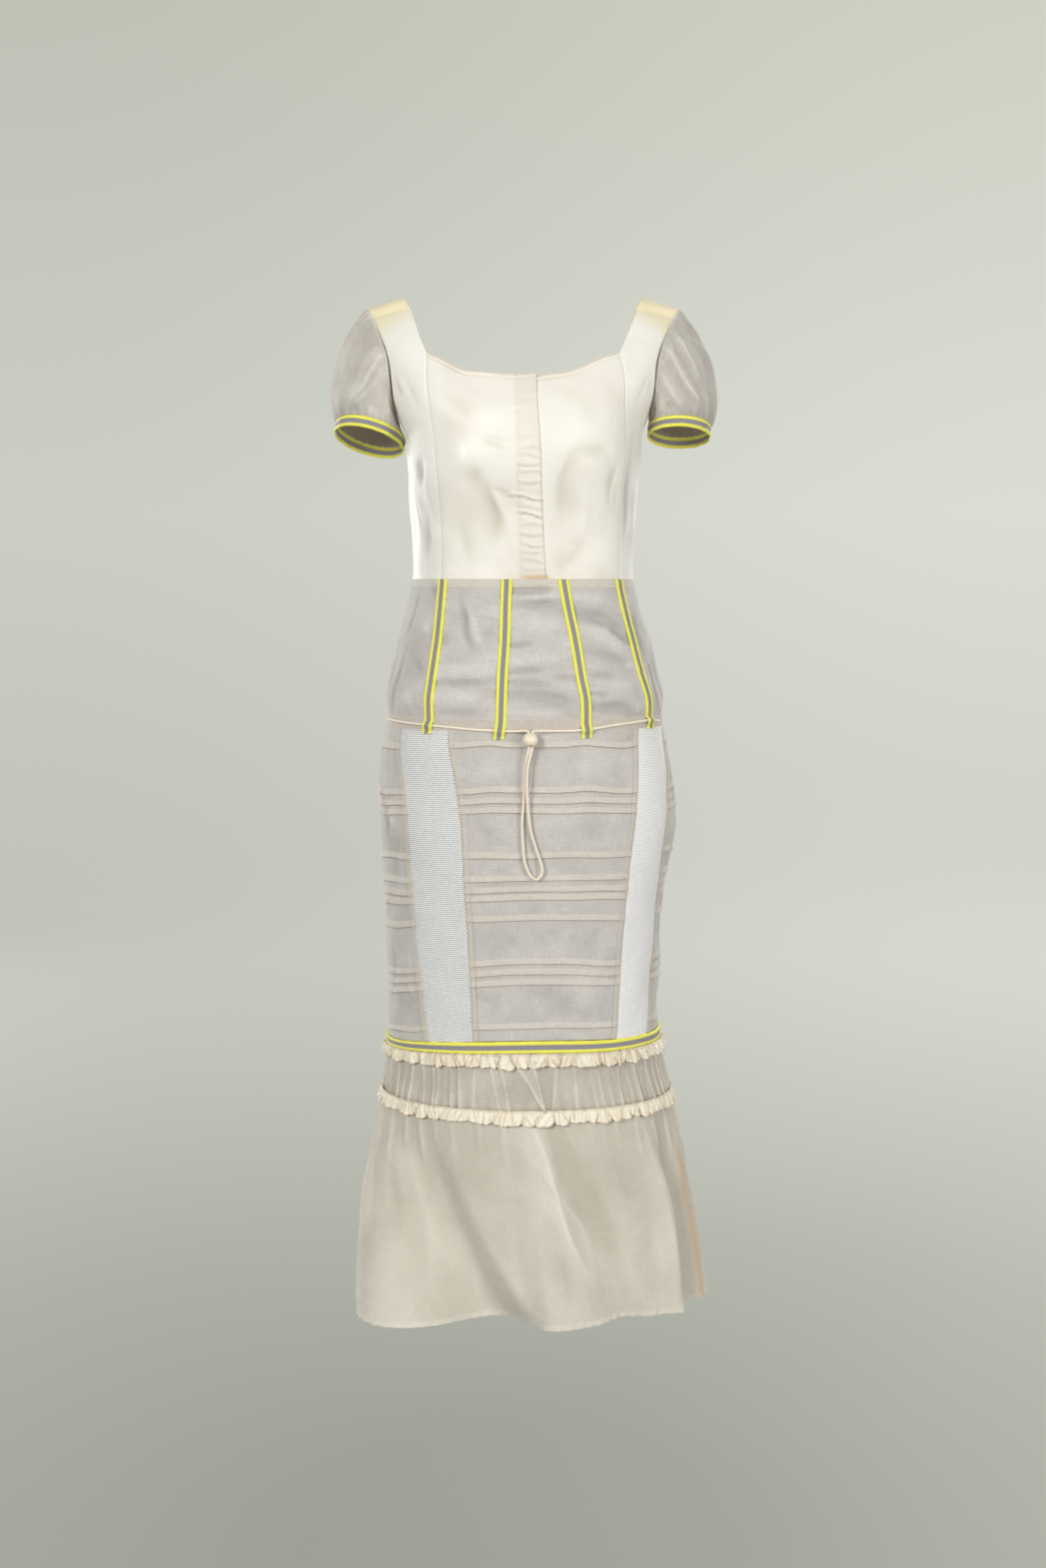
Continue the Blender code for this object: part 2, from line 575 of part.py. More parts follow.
def make_hips():
    rows = skirt_rows()
    stations, heights = rows[:, 0], rows[:, 1]
    tucked = {
        "hip_front": (seam(MESH_RIGHT_INNER, stations), seam(MESH_LEFT_INNER, stations), 8),
        "hip_side_right": (seam(SIDE_RIGHT, stations), seam(MESH_RIGHT_OUTER, stations), 3),
        "hip_side_left": (seam(MESH_LEFT_OUTER, stations), seam(SIDE_LEFT, stations), 3),
        "hip_back": (seam(SIDE_LEFT, stations), 360.0 + seam(SIDE_RIGHT, stations), 12),
    }
    for name, (low, high, columns) in tucked.items():
        angle = between(low, high, columns)
        station = stations[:, None] + sag(angle, stations[:, None])
        on_skin(name, angle, station, LAWN, outer=heights[:, None])
    strips = {
        "mesh_right": (seam(MESH_RIGHT_OUTER, stations), seam(MESH_RIGHT_INNER, stations)),
        "mesh_left": (seam(MESH_LEFT_INNER, stations), seam(MESH_LEFT_OUTER, stations)),
    }
    for name, (low, high) in strips.items():
        angle = between(low, high, 3)
        on_skin(name, angle, stations[:, None] + sag(angle, stations[:, None]), EYELET)


def make_hip_tape():
    rows = np.array([HIP_TAPE_TOP, HIP_TAPE_FOOT])
    for half, low, high in HALVES:
        angle = between(low, high, HIP_TAPE_COLUMNS)
        station = rows[:, None] + sag(angle, rows[:, None])
        on_skin("hip_tape_" + half, angle, station, TAPE, outer=HIP_TAPE_RAISE, inner=-HIP_TAPE_SINK)


def pleats(count):
    """A fold's top and foot by turns, beginning and ending at a foot."""
    return np.arange(2 * count + 1) % 2


def make_band():
    """The band between the ruffles, with gathers raised over a plain inside."""
    rows = even(HIP_TAPE_FOOT, BAND_FOOT, 4)
    for half, low, high in HALVES:
        raised = pleats(BAND_GATHERS[half])
        angle = between(low, high, len(raised))
        station = rows[:, None] + sag(angle, rows[:, None])
        on_skin("band_" + half, angle, station, LAWN, outer=BAND_GATHER_RAISE * raised)


def make_flounce():
    rows = np.array(FLOUNCE_ROWS)
    for half, low, high in HALVES:
        angle = between(low, high, FLOUNCE_COLUMNS[half])
        station = rows[:, None] + sag(angle, rows[:, None])
        fold = flounce_fold(angle, rows[:, None])
        on_skin("flounce_" + half, angle, station, LAWN_FLOUNCE, outer=fold, inner=fold - WALL)


def make_ruffles():
    """Two frills that lie on the band and on the flounce, pleated more at the foot than at the top."""
    levels = {"ruffle_upper": (HIP_TAPE_FOOT, BAND_GATHER_RAISE), "ruffle_lower": (BAND_FOOT, LAID_ON)}
    share = np.array([[0.0], [1.0]])
    for name, (top, under) in levels.items():
        rows = top + share * RUFFLE_HEIGHT
        for half, low, high in HALVES:
            raised = pleats(RUFFLE_WAVES[half])
            angle = between(low, high, len(raised))
            station = rows + sag(angle, rows)
            lift = under + LAID_ON + RUFFLE_DEPTH * (RUFFLE_HELD + (1 - RUFFLE_HELD) * share) * raised
            if name == "ruffle_lower":
                lift = lift + flounce_fold(angle, rows)
            on_skin(name + "_" + half, angle, station, RUFFLE, outer=lift + RUFFLE_WALL, inner=lift)


def main():
    for existing in list(bpy.data.objects):
        bpy.data.objects.remove(existing)
    part_collection()
    make_bodice()
    for side in ("right", "left"):
        make_sleeve(side)
    make_midriff()
    for name in TAPES:
        make_tape(name)
    make_cord()
    make_bead()
    make_hips()
    make_hip_tape()
    make_band()
    make_flounce()
    make_ruffles()


main()
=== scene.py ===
"""Looks of the patchwork dress: fine cloth shells over its solids, with their creases, gathers and finishes.

Tables are in millimetres and degrees. A place on the dress is an angle from the front, positive towards the
wearer's left (+X), and a station, the distance down the dress from the shoulders.
"""
import math

import bpy
import numpy as np
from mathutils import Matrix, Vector

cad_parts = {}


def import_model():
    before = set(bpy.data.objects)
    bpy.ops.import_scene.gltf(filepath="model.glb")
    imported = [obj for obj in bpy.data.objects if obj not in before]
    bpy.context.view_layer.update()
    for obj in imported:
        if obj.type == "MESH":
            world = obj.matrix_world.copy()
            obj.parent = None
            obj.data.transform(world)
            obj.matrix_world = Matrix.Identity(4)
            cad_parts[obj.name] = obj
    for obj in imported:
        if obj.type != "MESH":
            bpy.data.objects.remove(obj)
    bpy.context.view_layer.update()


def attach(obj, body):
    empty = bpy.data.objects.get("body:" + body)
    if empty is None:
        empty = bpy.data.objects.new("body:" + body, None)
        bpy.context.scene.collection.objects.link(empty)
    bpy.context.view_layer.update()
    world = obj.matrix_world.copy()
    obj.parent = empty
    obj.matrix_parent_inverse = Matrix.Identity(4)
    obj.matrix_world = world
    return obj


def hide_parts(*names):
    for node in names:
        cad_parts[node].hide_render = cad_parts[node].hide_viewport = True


MM = 0.001

# The photograph's camera: its place, its downward pitch, its lens and the width of its frame
CAMERA_PLACE = (0.0, -2.0, -0.334)
CAMERA_PITCH = 6.45
CAMERA_LENS = 39.26
CAMERA_FRAME = 36.0
FLOOR = -1.49

# Tones of the paper's glow behind, painted light, from the floor near the dress up to the top of the wall
BACKDROP = ((0.1, "9a9b90"), (0.24, "abaca1"), (0.42, "c4c5bd"), (0.7, "d4d5cc"), (1.0, "c8c9bd"))
BACKDROP_SLOPES = (-0.6, 0.32)

# Light from all round: its colour and strength. Lamps: place, power, size. All lamps aim at one point
SURROUNDING = ((1.0, 0.995, 0.985, 1.0), 0.34)
LAMPS = (
    ("key", (-2.4, -3.9, 1.2), 137, 1.5),
    ("fill", (2.6, -2.8, -0.2), 66, 1.6),
    ("back_key", (2.4, 3.9, 1.2), 137, 1.5),
    ("back_fill", (-2.6, 2.8, -0.2), 66, 1.6),
)
LAMP_AIM = (0.0, 0.0, -0.55)

# The worn form: station, height, half width, centre, front depth, back depth
SECTIONS = np.array([
    (0, 0, 190, 0, -7, 7), (14, -2.6, 190, 0, 8, 21), (32, -9.5, 188, 0, 24, 36), (55, -24, 184, 0, 43, 52),
    (84, -46, 178, 0, 63, 68), (122, -77, 168, 0, 85, 82), (150, -105, 158, 0, 99, 90),
    (180, -135, 144, 0, 111, 94), (205, -160, 135, 1, 116, 95), (230, -185, 134, 1, 117, 93),
    (262, -217, 132, 0, 111, 88), (295, -250, 129.5, 0, 102, 82), (337, -292, 127.5, 0, 95, 76),
    (368, -323, 128, 0, 93, 74), (390, -345, 133, 0, 95, 77), (435, -390, 145, 1, 99, 86),
    (475, -430, 155, 1, 103, 95), (500, -455, 161, 2, 106, 101), (528, -483, 160, 2, 107, 106),
    (552, -507, 165.5, 1, 109, 110), (585, -540, 171, 3, 111, 114), (640, -595, 173, 5, 113, 118),
    (690, -645, 169, 3, 112, 117), (740, -695, 163.5, 1, 109, 113), (800, -755, 160.5, 0, 106, 108),
    (870, -825, 160, 0, 104, 105), (915, -870, 162, 1, 104, 105), (968, -923, 170, 4, 105, 107),
    (1000, -955, 176, 6, 107, 110), (1048, -1003, 184, 7, 110, 114), (1097, -1052, 191, 7, 113, 118),
    (1160, -1115, 197, 7, 116, 122), (1219, -1174, 200, 7, 118, 125),
])
SQUARENESS = 2.25
SHOULDER_SLOPE = 0.36
NECK_X = 136.0
SHOULDER_END = 122.0

# Openings of the bodice: station, angle
NECK_EDGE = np.array([(0, 43.5), (30, 42), (64, 40.5), (98, 38), (118, 36.5), (122, 36.2)])
ARMHOLE = np.array([
    (0, 67.5), (34, 66.5), (73, 63.5), (99, 62), (121, 62.5), (136, 64.5), (152, 69), (166, 76),
    (177, 83), (182, 90),
])
NECK_FOOT = 118.0
ARMHOLE_FOOT = 182.0
STRAP_SEAM = 50.0
# angle, station of the top edge
FRONT_NECKLINE = np.array([
    (-36.8, 118), (-30.8, 126.3), (-24.6, 136), (-20.6, 140.7), (-14.7, 142.2), (-7.3, 144.7),
    (-1.8, 145.8), (4.2, 144.7), (12.1, 144.5), (19.7, 137.5), (27.6, 126.6), (36.8, 118),
])
BACK_NECK_DIP = 8.0

# Long seams: station, angle
PRINCESS_RIGHT = np.array([(118, -36.8), (170, -42.5), (200, -45.8), (266, -43.3), (366, -44)])
PRINCESS_LEFT = np.array([(118, 36.8), (175, 49), (212, 56.5), (265, 56), (366, 57.3)])
PLACKET_RIGHT = np.array([(118, -1.8), (248, -1.5), (366, -0.4)])
PLACKET_LEFT = np.array([(118, 3.8), (195, 5.5), (301, 7.6), (366, 9.1)])
MESH_RIGHT_OUTER = np.array([
    (533, -58.5), (591, -51.5), (640, -49.6), (700, -48.6), (750, -47.4), (798, -45.2), (887, -40.1)])
MESH_RIGHT_INNER = np.array([
    (533, -29.5), (588, -25), (640, -23), (700, -21.8), (793, -19.9), (887, -18.4)])
MESH_LEFT_INNER = np.array([(533, 51.4), (590, 45), (640, 42.4), (750, 42.5), (843, 41), (887, 39.5)])
MESH_LEFT_OUTER = np.array([(533, 80), (594, 69), (640, 66), (750, 68.5), (806, 68), (887, 62.2)])
SIDE_RIGHT = np.array([(533, -67), (640, -62.5), (740, -61.5), (887, -60)])
SIDE_LEFT = np.array([(533, 91), (887, 90)], float)

# Levels of the cross seams at the centre front
WAIST = 366.0
STRIP_FOOT = 375.5
CHANNEL_TOP = 520.5
CORD_LEVEL = 533.0
HIP_FOOT = 887.0
HIP_TAPE_TOP = 887.3
HIP_TAPE_FOOT = 901.6
BAND_FOOT = 968.0
HEM = 1219.0
# How much lower than at the front a level lies at the sides: angle, share
SAG_SHARE = np.array([
    (-180, 0.3), (-120, 0.8), (-84, 1), (-57, 0.75), (-30, 0.3), (6, 0), (40, 0.2), (84, 0.3), (130, 0.3),
    (180, 0.3)])
# station, drop at the wearer's right side
SAG_DROP = np.array([
    (0, 0), (300, 2), (540, 4), (560, 9), (640, 10), (700, 14), (750, 24), (845, 24), (875, 20), (890, 13),
    (905, 8), (930, 3), (1219, 3)], float)

# Horizontal tucks of the hips
TUCK_EDGES = (552, 602, 614, 625, 675, 700.5, 713.5, 723, 746.5, 798, 809.5, 821, 871.7)
TUCK_HEIGHT = 6.3
STRIP_WIDTH = 7.4

# Striped tapes on the midriff: angle at the waist, at the middle and at the cord, and the cord's station
TAPE_WIDTH = 12.5
TAPES = {
    "tape_1": (-42.3, -39.4, -40.0, 529.0),
    "tape_2": (-6.4, -6.8, -7.9, 534.0),
    "tape_3": (17.9, 21.0, 22.7, 533.0),
    "tape_4": (55.9, 56.6, 60.6, 525.5),
}
# Distance from the cord's station, height over the midriff
TAPE_LOOP = np.array([
    (-9, 0.6), (-4.5, 0.8), (-2.3, 3), (0, 4), (2.3, 3.2), (5.5, 1), (9.5, 0.7)])

# Drawcord and bead
CORD_DIAMETER = 3.0
CORD_LIFT = 2.0
CORD_FROM_RIGHT = np.array([
    (-74.3, 526), (-60, 527.2), (-45.5, 528.4), (-30, 530.4), (-16, 533), (-6.5, 534)])
CORD_TO_LEFT = np.array([
    (14.5, 534), (22.7, 533), (33, 529.5), (48, 526.4), (61, 525.5), (71.2, 527.6)])
CORD_HANGING = (
    (-4, -112.8, -488.6), (1.4, -115.6, -487.9), (5.3, -117.7, -488.4), (6.5, -118.4, -491.5),
    (6.5, -118.4, -499), (6.5, -118.4, -507.5), (2.8, -117.2, -528), (1.7, -117, -556), (-0.6, -117, -583),
    (-0.6, -117, -603), (0.8, -117, -625), (3, -117, -638), (8.4, -117, -649.5), (15, -117, -654.2),
    (20.2, -117, -649.5), (21.4, -117, -641), (18.4, -117, -630.5), (13.9, -117, -617), (9.4, -117.4, -602),
    (6.4, -119, -583), (4.6, -120.6, -560), (5.2, -120.8, -530), (10.1, -118.4, -507.5), (10.1, -118.4, -499),
    (10.1, -118.4, -491.5), (11.3, -117.7, -488.4), (15.2, -115.6, -487.9), (20.6, -112.8, -488.4),
)
BEAD_CENTRE = (8.3, -118.4, -497.6)
BEAD_RADIUS = 8.5
BEAD_BORE = 4.0
BEAD_THROAT = 3.4

# Puff sleeves: cuff centre x and z, drop of the cuff's plane outwards and backwards, half width, half depth
CUFFS = {
    "right": (-175.0, -152.5, -0.22, 0.29, 39.5, 44.0),
    "left": (180.0, -147.0, 0.05, 0.20, 36.0, 44.0),
}
CUFF_HEIGHT = 12.0
SLEEVE_REACH_OUT = (34.0, 1.5)
SLEEVE_REACH_UP = (33.0, 1.0)
SLEEVE_PUFF = (20.0, 0.0)
SLEEVE_SET_IN = 1.1
SLEEVE_LEAVING = (0.75, 0.5, 0.65)
# How much darker each sleeve's tone is set: painted shade, the wearer's left sleeve lying more in shade
SLEEVE_SHADE = {"right": 0.18, "left": 0.34}
SLEEVE_RIDGES = {
    "right": (
        (25, 45, 17, 3), (75, 60, 15, 2.4), (110, 95, 14, 2.2), (250, 262, 18, 2.6), (310, 300, 18, 2.6)),
    "left": (
        (20, 8, 13, 2.6), (52, 35, 12, 3), (82, 62, 12, 3), (112, 92, 12, 2.6), (250, 262, 18, 2.6),
        (310, 300, 18, 2.6)),
}

SIGN = {"right": -1.0, "left": 1.0}
HALVES = {"front": (-90.0, 90.0), "back": (90.0, 270.0)}

# Thicknesses of the shells, and heights over the worn form
SATIN_WALL = 0.8
RUFFLE_WALL = 0.75
LAWN_WALL = 0.7
NET_WALL = 0.6
RUFFLE_HEIGHT = 15.0
BAND_GATHER_RAISE = 1.2
HIP_TAPE_RAISE = 1.8
LAID_ON = 0.6

# Folds of the flounce: angle at its top, angle at the hem, half width towards the wearer's right,
# half width towards the left, height at the hem
FLOUNCE_FOLDS = (
    (-78, -50, 32, 34, 42), (-46, -7, 24, 11, -33), (-1, 6, 7, 20, 16), (5, 32, 12, 14, -12),
    (50, 57, 10, 8, 15), (60, 67, 8, 9, -18), (76, 83, 14, 18, 16), (118, 112, 18, 18, 12),
    (148, 142, 16, 16, 14), (178, 175, 16, 16, 12), (208, 209, 16, 16, 14), (240, 243, 18, 18, 12),
)
FOLD_GROWTH = 1.25

# Millimetres round the dress in a degree, for the width of a crease
DEGREE = 2.5

# Weave of the lawn: a thread's wave length, its relief and that of the crumples. Satin: length and width of
# its floats, and their relief. All in metres
LAWN_THREAD, LAWN_RELIEF, LAWN_CRUMPLE = 0.0006, 0.00006, 0.0005
FLOAT_LENGTH, FLOAT_WIDTH, FLOAT_RELIEF = 0.0011, 0.0004, 0.000008

# Creases: angle and station of their start and end, half width on either side, height (a hollow is below
# zero), and the share of the height at the start
BODICE_CREASES = (
    # soft drag lines from the bust to the placket
    (-20, 211, -2, 227, 7, 5, -0.9, 0.2), (-27, 246, -15, 258, 9, 7, -1.1, 0.4),
    (-16, 256, -8, 334, 12, 7, -1.8, 0.2), (-12, 262, -5, 330, 5, 6, 1, 0.1),
    (-8, 322, -1, 356, 4, 5, -0.8, 0.2), (-14, 222, -3, 224, 3, 3, 0.5, 0.2),
    (-13, 268, -2, 275, 4, 3, -1, 0.1), (22, 224, 9, 324, 7, 12, -1.7, 0.2), (15, 250, 10, 335, 5, 5, 0.9, 0.1),
    (19, 226, 46, 218, 12, 8, -1, 0.3), (48, 236, 46, 296, 8, 4, -1.1, 0), (30, 322, 21, 366, 7, 7, -1, 0.1),
    (16, 338, 13, 366, 3, 4, -0.8, 0.6), (-33, 296, -22, 360, 10, 11, -0.8, 0),
    (-38, 160, -18, 196, 10, 11, -0.6, 0.3), (38, 170, 24, 200, 10, 11, -0.6, 0.3),
    (30, 262, 26, 330, 9, 9, 0.7, 0), (-32, 214, -28, 262, 9, 9, 0.6, 0),
    # hollows and streaks of the side fronts
    (-60, 224, -55, 268, 7, 8, -1.6, 0), (-57, 288, -53, 348, 8, 8, -1.4, 0),
    (-63, 270, -54, 330, 2.5, 3, 0.8, 0), (-53, 246, -51, 330, 3, 3, 0.7, 0),
    (-58, 300, -50, 340, 2.5, 3, -0.6, 0), (-68, 230, -63, 350, 5, 5, 0.4, 0),
    (63, 212, 61, 330, 9, 8, -1.3, 0.2), (68, 230, 66, 340, 4, 4, 0.8, 0), (72, 250, 70, 350, 5, 5, -1, 0),
    (-75, 200, -66, 250, 6, 7, 0.5, 0.6), (80, 204, 74, 262, 5, 6, 1.1, 0.6),
    (-74, 280, -72, 350, 7, 7, -0.5, 0), (78, 290, 76, 350, 5, 5, 0.9, 0),
    (-55, 140, -50, 186, 5, 6, -0.7, 0.2), (56, 130, 58, 178, 5, 6, -0.7, 0.2),
    # drags across the back
    (150, 190, 172, 262, 9, 9, -1.4, 0.1), (208, 196, 188, 266, 9, 9, -1.5, 0.1),
    (128, 250, 138, 340, 9, 8, -1.5, 0), (232, 244, 222, 338, 9, 8, -1.5, 0),
    (165, 300, 176, 362, 6, 7, -1.2, 0.1), (198, 306, 190, 362, 6, 7, -1.1, 0.1),
    (104, 210, 112, 300, 6, 7, -1.5, 0.2), (256, 214, 248, 300, 6, 7, -1.4, 0.2),
    (118, 196, 132, 214, 4, 5, 0.9, 0.5), (242, 196, 228, 214, 4, 5, 0.9, 0.5),
    (178, 224, 181, 330, 5, 5, 0.8, 0),
)
# Places where the satin is painted darker as shade, laid out as creases are, with a share of the darker tone
BODICE_PAINTED_SHADE = (
    (-27, 250, -15, 262, 12, 6, 0.35, 0.5), (-16, 258, -8, 340, 17, 4, 0.42, 0.4),
    (-33, 286, -20, 366, 18, 14, 0.2, 0.4), (20, 228, 46, 222, 14, 5, 0.3, 0.5),
    (21, 228, 9, 322, 3, 15, 0.3, 0.3), (49, 236, 47, 300, 9, 3, 0.4, 0.1),
    (-20, 213, -3, 228, 4, 2, 0.25, 0.1), (-12, 272, -2, 276, 3, 2, 0.4, 0.1),
    (24, 330, 14, 366, 9, 12, 0.25, 0.5), (-30, 170, -18, 190, 12, 10, 0.15, 0.3),
    (30, 168, 22, 190, 10, 10, 0.15, 0.3), (9, 160, 26, 172, 8, 6, 0.12, 0.3),
    (-61, 226, -56, 268, 6, 6, 0.55, 0), (-58, 290, -53, 352, 8, 7, 0.45, 0.1),
    (-64, 244, -60, 330, 4, 4, 0.3, 0), (-52, 200, -50, 350, 3, 3, 0.16, 0),
    (-74, 214, -72, 352, 12, 10, 0.42, 0.4), (62, 214, 60, 340, 9, 7, 0.5, 0.2),
    (70, 250, 68, 350, 5, 5, 0.35, 0), (-58, 140, -62, 168, 5, 4, 0.4, 0.3), (60, 134, 64, 164, 4, 5, 0.3, 0.3),
    (132, 250, 138, 340, 12, 9, 0.3, 0.1), (228, 246, 222, 340, 9, 12, 0.3, 0.1),
    (152, 196, 172, 262, 10, 12, 0.25, 0.2), (206, 200, 188, 266, 12, 10, 0.25, 0.2),
)
# Puckers across the placket: station, height, how far they run to either side of it in degrees
PLACKET_PUCKERS = (
    (166, 0.5, 0.5, 0.5), (180, 0.7, 5, 0.5), (195, 0.6, 5.5, 0.5), (211, 0.4, 0.5, 0.2), (224, 0.8, 1.5, 0.5),
    (232, 0.6, 1, 0.5), (241, 0.8, 2.5, 0.8), (249, 0.6, 1, 0.5), (260, 0.9, 1.5, 0.8), (277, 1.5, 8.5, 1.5),
    (288, 0.5, 0.5, 0.2), (295, 1.4, 3, 1), (306, 0.5, 0.8, 0.5), (316, 1, 1.5, 0.8), (328, 1, 1.2, 0.8),
    (335, 0.7, 0.8, 0.5), (345, 0.6, 0.5, 0.5), (354, 0.9, 1.5, 0.8),
)
MIDRIFF_CREASES = (
    # between the first and second tape: a slanting fold, then a bulge over a hollow
    (-31, 388, -18.5, 456, 3, 5, -1.7, 0.2), (-27, 390, -13, 452, 4, 6, 1.1, 0.1),
    (-36, 468, -8, 466, 12, 5, 1.6, 0.5), (-37, 483, -9, 481, 4, 5, -1.5, 0.6),
    (-36, 500, -12, 498, 6, 6, 0.9, 0.4), (-36, 515, -10, 516, 4, 5, -0.9, 0.5),
    (-30, 432, -40, 440, 6, 7, -0.7, 0), (-22, 404, -8, 402, 5, 6, 0.6, 0),
    (-20, 424, -8, 430, 5, 5, -0.6, 0.3),
    # between the second and third
    (-5, 380, 16, 376, 4, 4, -1.5, 0.6), (-5, 397, 18, 392, 4, 5, -1.5, 0.6), (-3, 388, 16, 385, 4, 4, 1, 0.3),
    (-4, 418, 20, 414, 9, 9, 1.2, 0.3), (-5, 441, 5, 436, 3, 3, -1.2, 0.8), (-5, 469, 7, 466, 3, 4, -1.2, 0.9),
    (-5, 480, 12, 484, 4, 4, -1.1, 0.6), (-2, 493, 20, 503, 5, 7, -1.7, 0.3),
    (-4, 458, 18, 452, 5, 6, 0.8, 0.2), (20, 478, 8, 474, 4, 4, -1, 0.8), (-4, 514, 16, 517, 5, 5, 0.9, 0.3),
    # between the third and fourth
    (22, 404, 44, 414, 7, 6, -2.1, 0.7), (38, 412, 60, 444, 7, 7, -2.1, 0.4),
    (26, 420, 52, 444, 9, 9, 1.3, 0.2), (26, 446, 50, 460, 5, 6, -1.2, 0.5),
    (26, 473, 40, 475, 4, 4, -0.9, 0.8), (24, 386, 50, 392, 6, 6, 0.8, 0.3),
    (26, 494, 36, 496, 3, 3, -1.1, 0.9), (26, 508, 52, 514, 5, 6, -1.6, 0.5), (54, 520, 40, 517, 3, 4, -1, 0.6),
    (30, 482, 54, 488, 6, 6, 0.9, 0.2), (56, 466, 44, 462, 4, 4, 0.8, 0.5),
    # towards the side seams
    (62, 392, 66, 470, 5, 6, -1.1, 0), (66, 452, 73, 526, 3, 4, -1.6, 0), (70, 470, 76, 530, 3, 3, 1.6, 0),
    (77, 440, 80, 528, 4, 4, -1.6, 0), (84, 400, 86, 520, 4, 5, 1.2, 0), (-64, 448, -70, 528, 3, 4, -1.5, 0),
    (-69, 462, -75, 531, 3, 3, 1.6, 0), (-76, 430, -80, 528, 4, 4, -1.5, 0), (-84, 396, -86, 524, 4, 5, 1.2, 0),
    (-50, 376, -44, 388, 5, 6, -1.1, 0.8), (-52, 410, -46, 436, 6, 7, 0.7, 0),
    (-56, 460, -46, 474, 6, 6, -0.9, 0.2), (-62, 380, -66, 440, 2.5, 3, -0.9, 0.3),
    (-58, 496, -48, 510, 5, 6, 0.8, 0),
    # the back
    (112, 400, 118, 500, 9, 9, -1.6, 0), (134, 384, 130, 470, 6, 7, 1, 0.2),
    (158, 400, 164, 520, 8, 9, -1.4, 0), (184, 380, 181, 460, 6, 6, 0.9, 0.3),
    (206, 410, 200, 520, 8, 9, -1.3, 0), (232, 390, 238, 500, 9, 8, -1.6, 0), (252, 400, 250, 520, 6, 7, 1, 0),
)
HIP_CREASES = (
    (-75, 596, -62, 690, 4, 5, -2.6, 0.2), (-60, 612, -67, 690, 3, 4, 1.8, 0.1),
    (-80, 560, -72, 640, 5, 5, 1.6, 0), (-70, 690, -78, 790, 5, 5, 1.5, 0), (-66, 770, -72, 880, 5, 6, -1.4, 0),
    (-84, 700, -86, 860, 5, 6, 1.3, 0), (-56, 640, -62, 740, 5, 5, -1, 0), (-12, 560, -10, 600, 7, 8, 0.9, 0),
    (21, 560, 22, 604, 7, 8, 0.9, 0), (34, 560, 37, 600, 5, 6, -1, 0.2), (-20, 628, -10, 668, 6, 7, -0.9, 0),
    (14, 630, 30, 668, 6, 8, -0.9, 0), (-14, 726, 2, 790, 8, 9, -1.1, 0), (20, 752, 10, 792, 8, 8, 0.9, 0),
    (32, 750, 24, 796, 6, 7, -0.9, 0), (-12, 826, -8, 868, 7, 7, -1, 0), (2, 830, 8, 868, 5, 6, 0.9, 0),
    (18, 828, 14, 866, 7, 7, -1, 0), (78, 560, 74, 660, 4, 5, -1.6, 0.1), (84, 600, 80, 720, 5, 5, 1.6, 0),
    (76, 700, 80, 810, 4, 5, -1.3, 0), (86, 760, 82, 880, 5, 6, 1.2, 0), (104, 560, 112, 680, 8, 9, -1.5, 0),
    (126, 640, 132, 800, 9, 9, 1.4, 0), (150, 560, 156, 700, 9, 9, -1.4, 0), (176, 620, 180, 830, 9, 9, 1.2, 0),
    (202, 560, 206, 720, 9, 9, -1.4, 0), (228, 640, 224, 820, 9, 9, 1.3, 0),
    (250, 580, 256, 760, 7, 8, -1.5, 0),
)
# Gathers of the band: angle at the top and at the foot, half width, height
BAND_GATHERS = (
    (-84, -86, 3, 1.5), (-76, -75, 2.5, 1.3), (-68, -70, 2.5, 1.6), (-61, -60, 2.4, 1.7), (-55, -56, 2.2, 1.2),
    (-49, -51, 2.4, 1.7), (-43, -42, 2.5, 1.1), (-37, -37, 2.2, 1.8), (-34.5, -35, 1.8, 1.4),
    (-29, -28, 2.4, 0.9), (-25, -24, 2.2, 1.7), (-18, -18, 2.8, 1.5), (-12, -8.5, 2.6, 1.8), (-8, -5, 2.6, 1.8),
    (-3.5, 5, 2.8, 2), (2, 5.5, 2.4, 1.9), (7, 6.5, 5, -1.6), (12, 8, 2.8, 1.8), (19, 17, 3.5, 1),
    (25, 26, 3, 0.7), (28.5, 29, 2.4, 1.3), (34, 33, 3, 0.9), (39, 38.5, 2.4, 1.5), (44, 45, 2.6, 0.9),
    (48, 50, 2.2, 1.8), (56, 60, 2.3, 1.6), (63, 65, 2.5, 1.2), (68, 70, 2.3, 1.5), (73, 75, 2.3, 1.7),
    (80, 81, 2.5, 1.3), (87, 88, 2.5, 1.6), (96, 94, 3, 1.5), (104, 106, 3, 1.2), (111, 110, 2.8, 1.7),
    (119, 122, 3, 1.3), (128, 127, 2.6, 1.6), (136, 138, 3, 1.1), (144, 142, 2.8, 1.7), (153, 155, 3, 1.3),
    (161, 160, 2.6, 1.6), (170, 172, 3, 1.2), (178, 177, 2.8, 1.7), (187, 189, 3, 1.3), (196, 194, 2.8, 1.6),
    (204, 206, 3, 1.1), (213, 212, 2.6, 1.7), (221, 223, 3, 1.3), (230, 228, 2.8, 1.6), (239, 241, 3, 1.3),
    (247, 246, 2.6, 1.6), (256, 258, 3, 1.4), (264, 263, 2.8, 1.6),
)
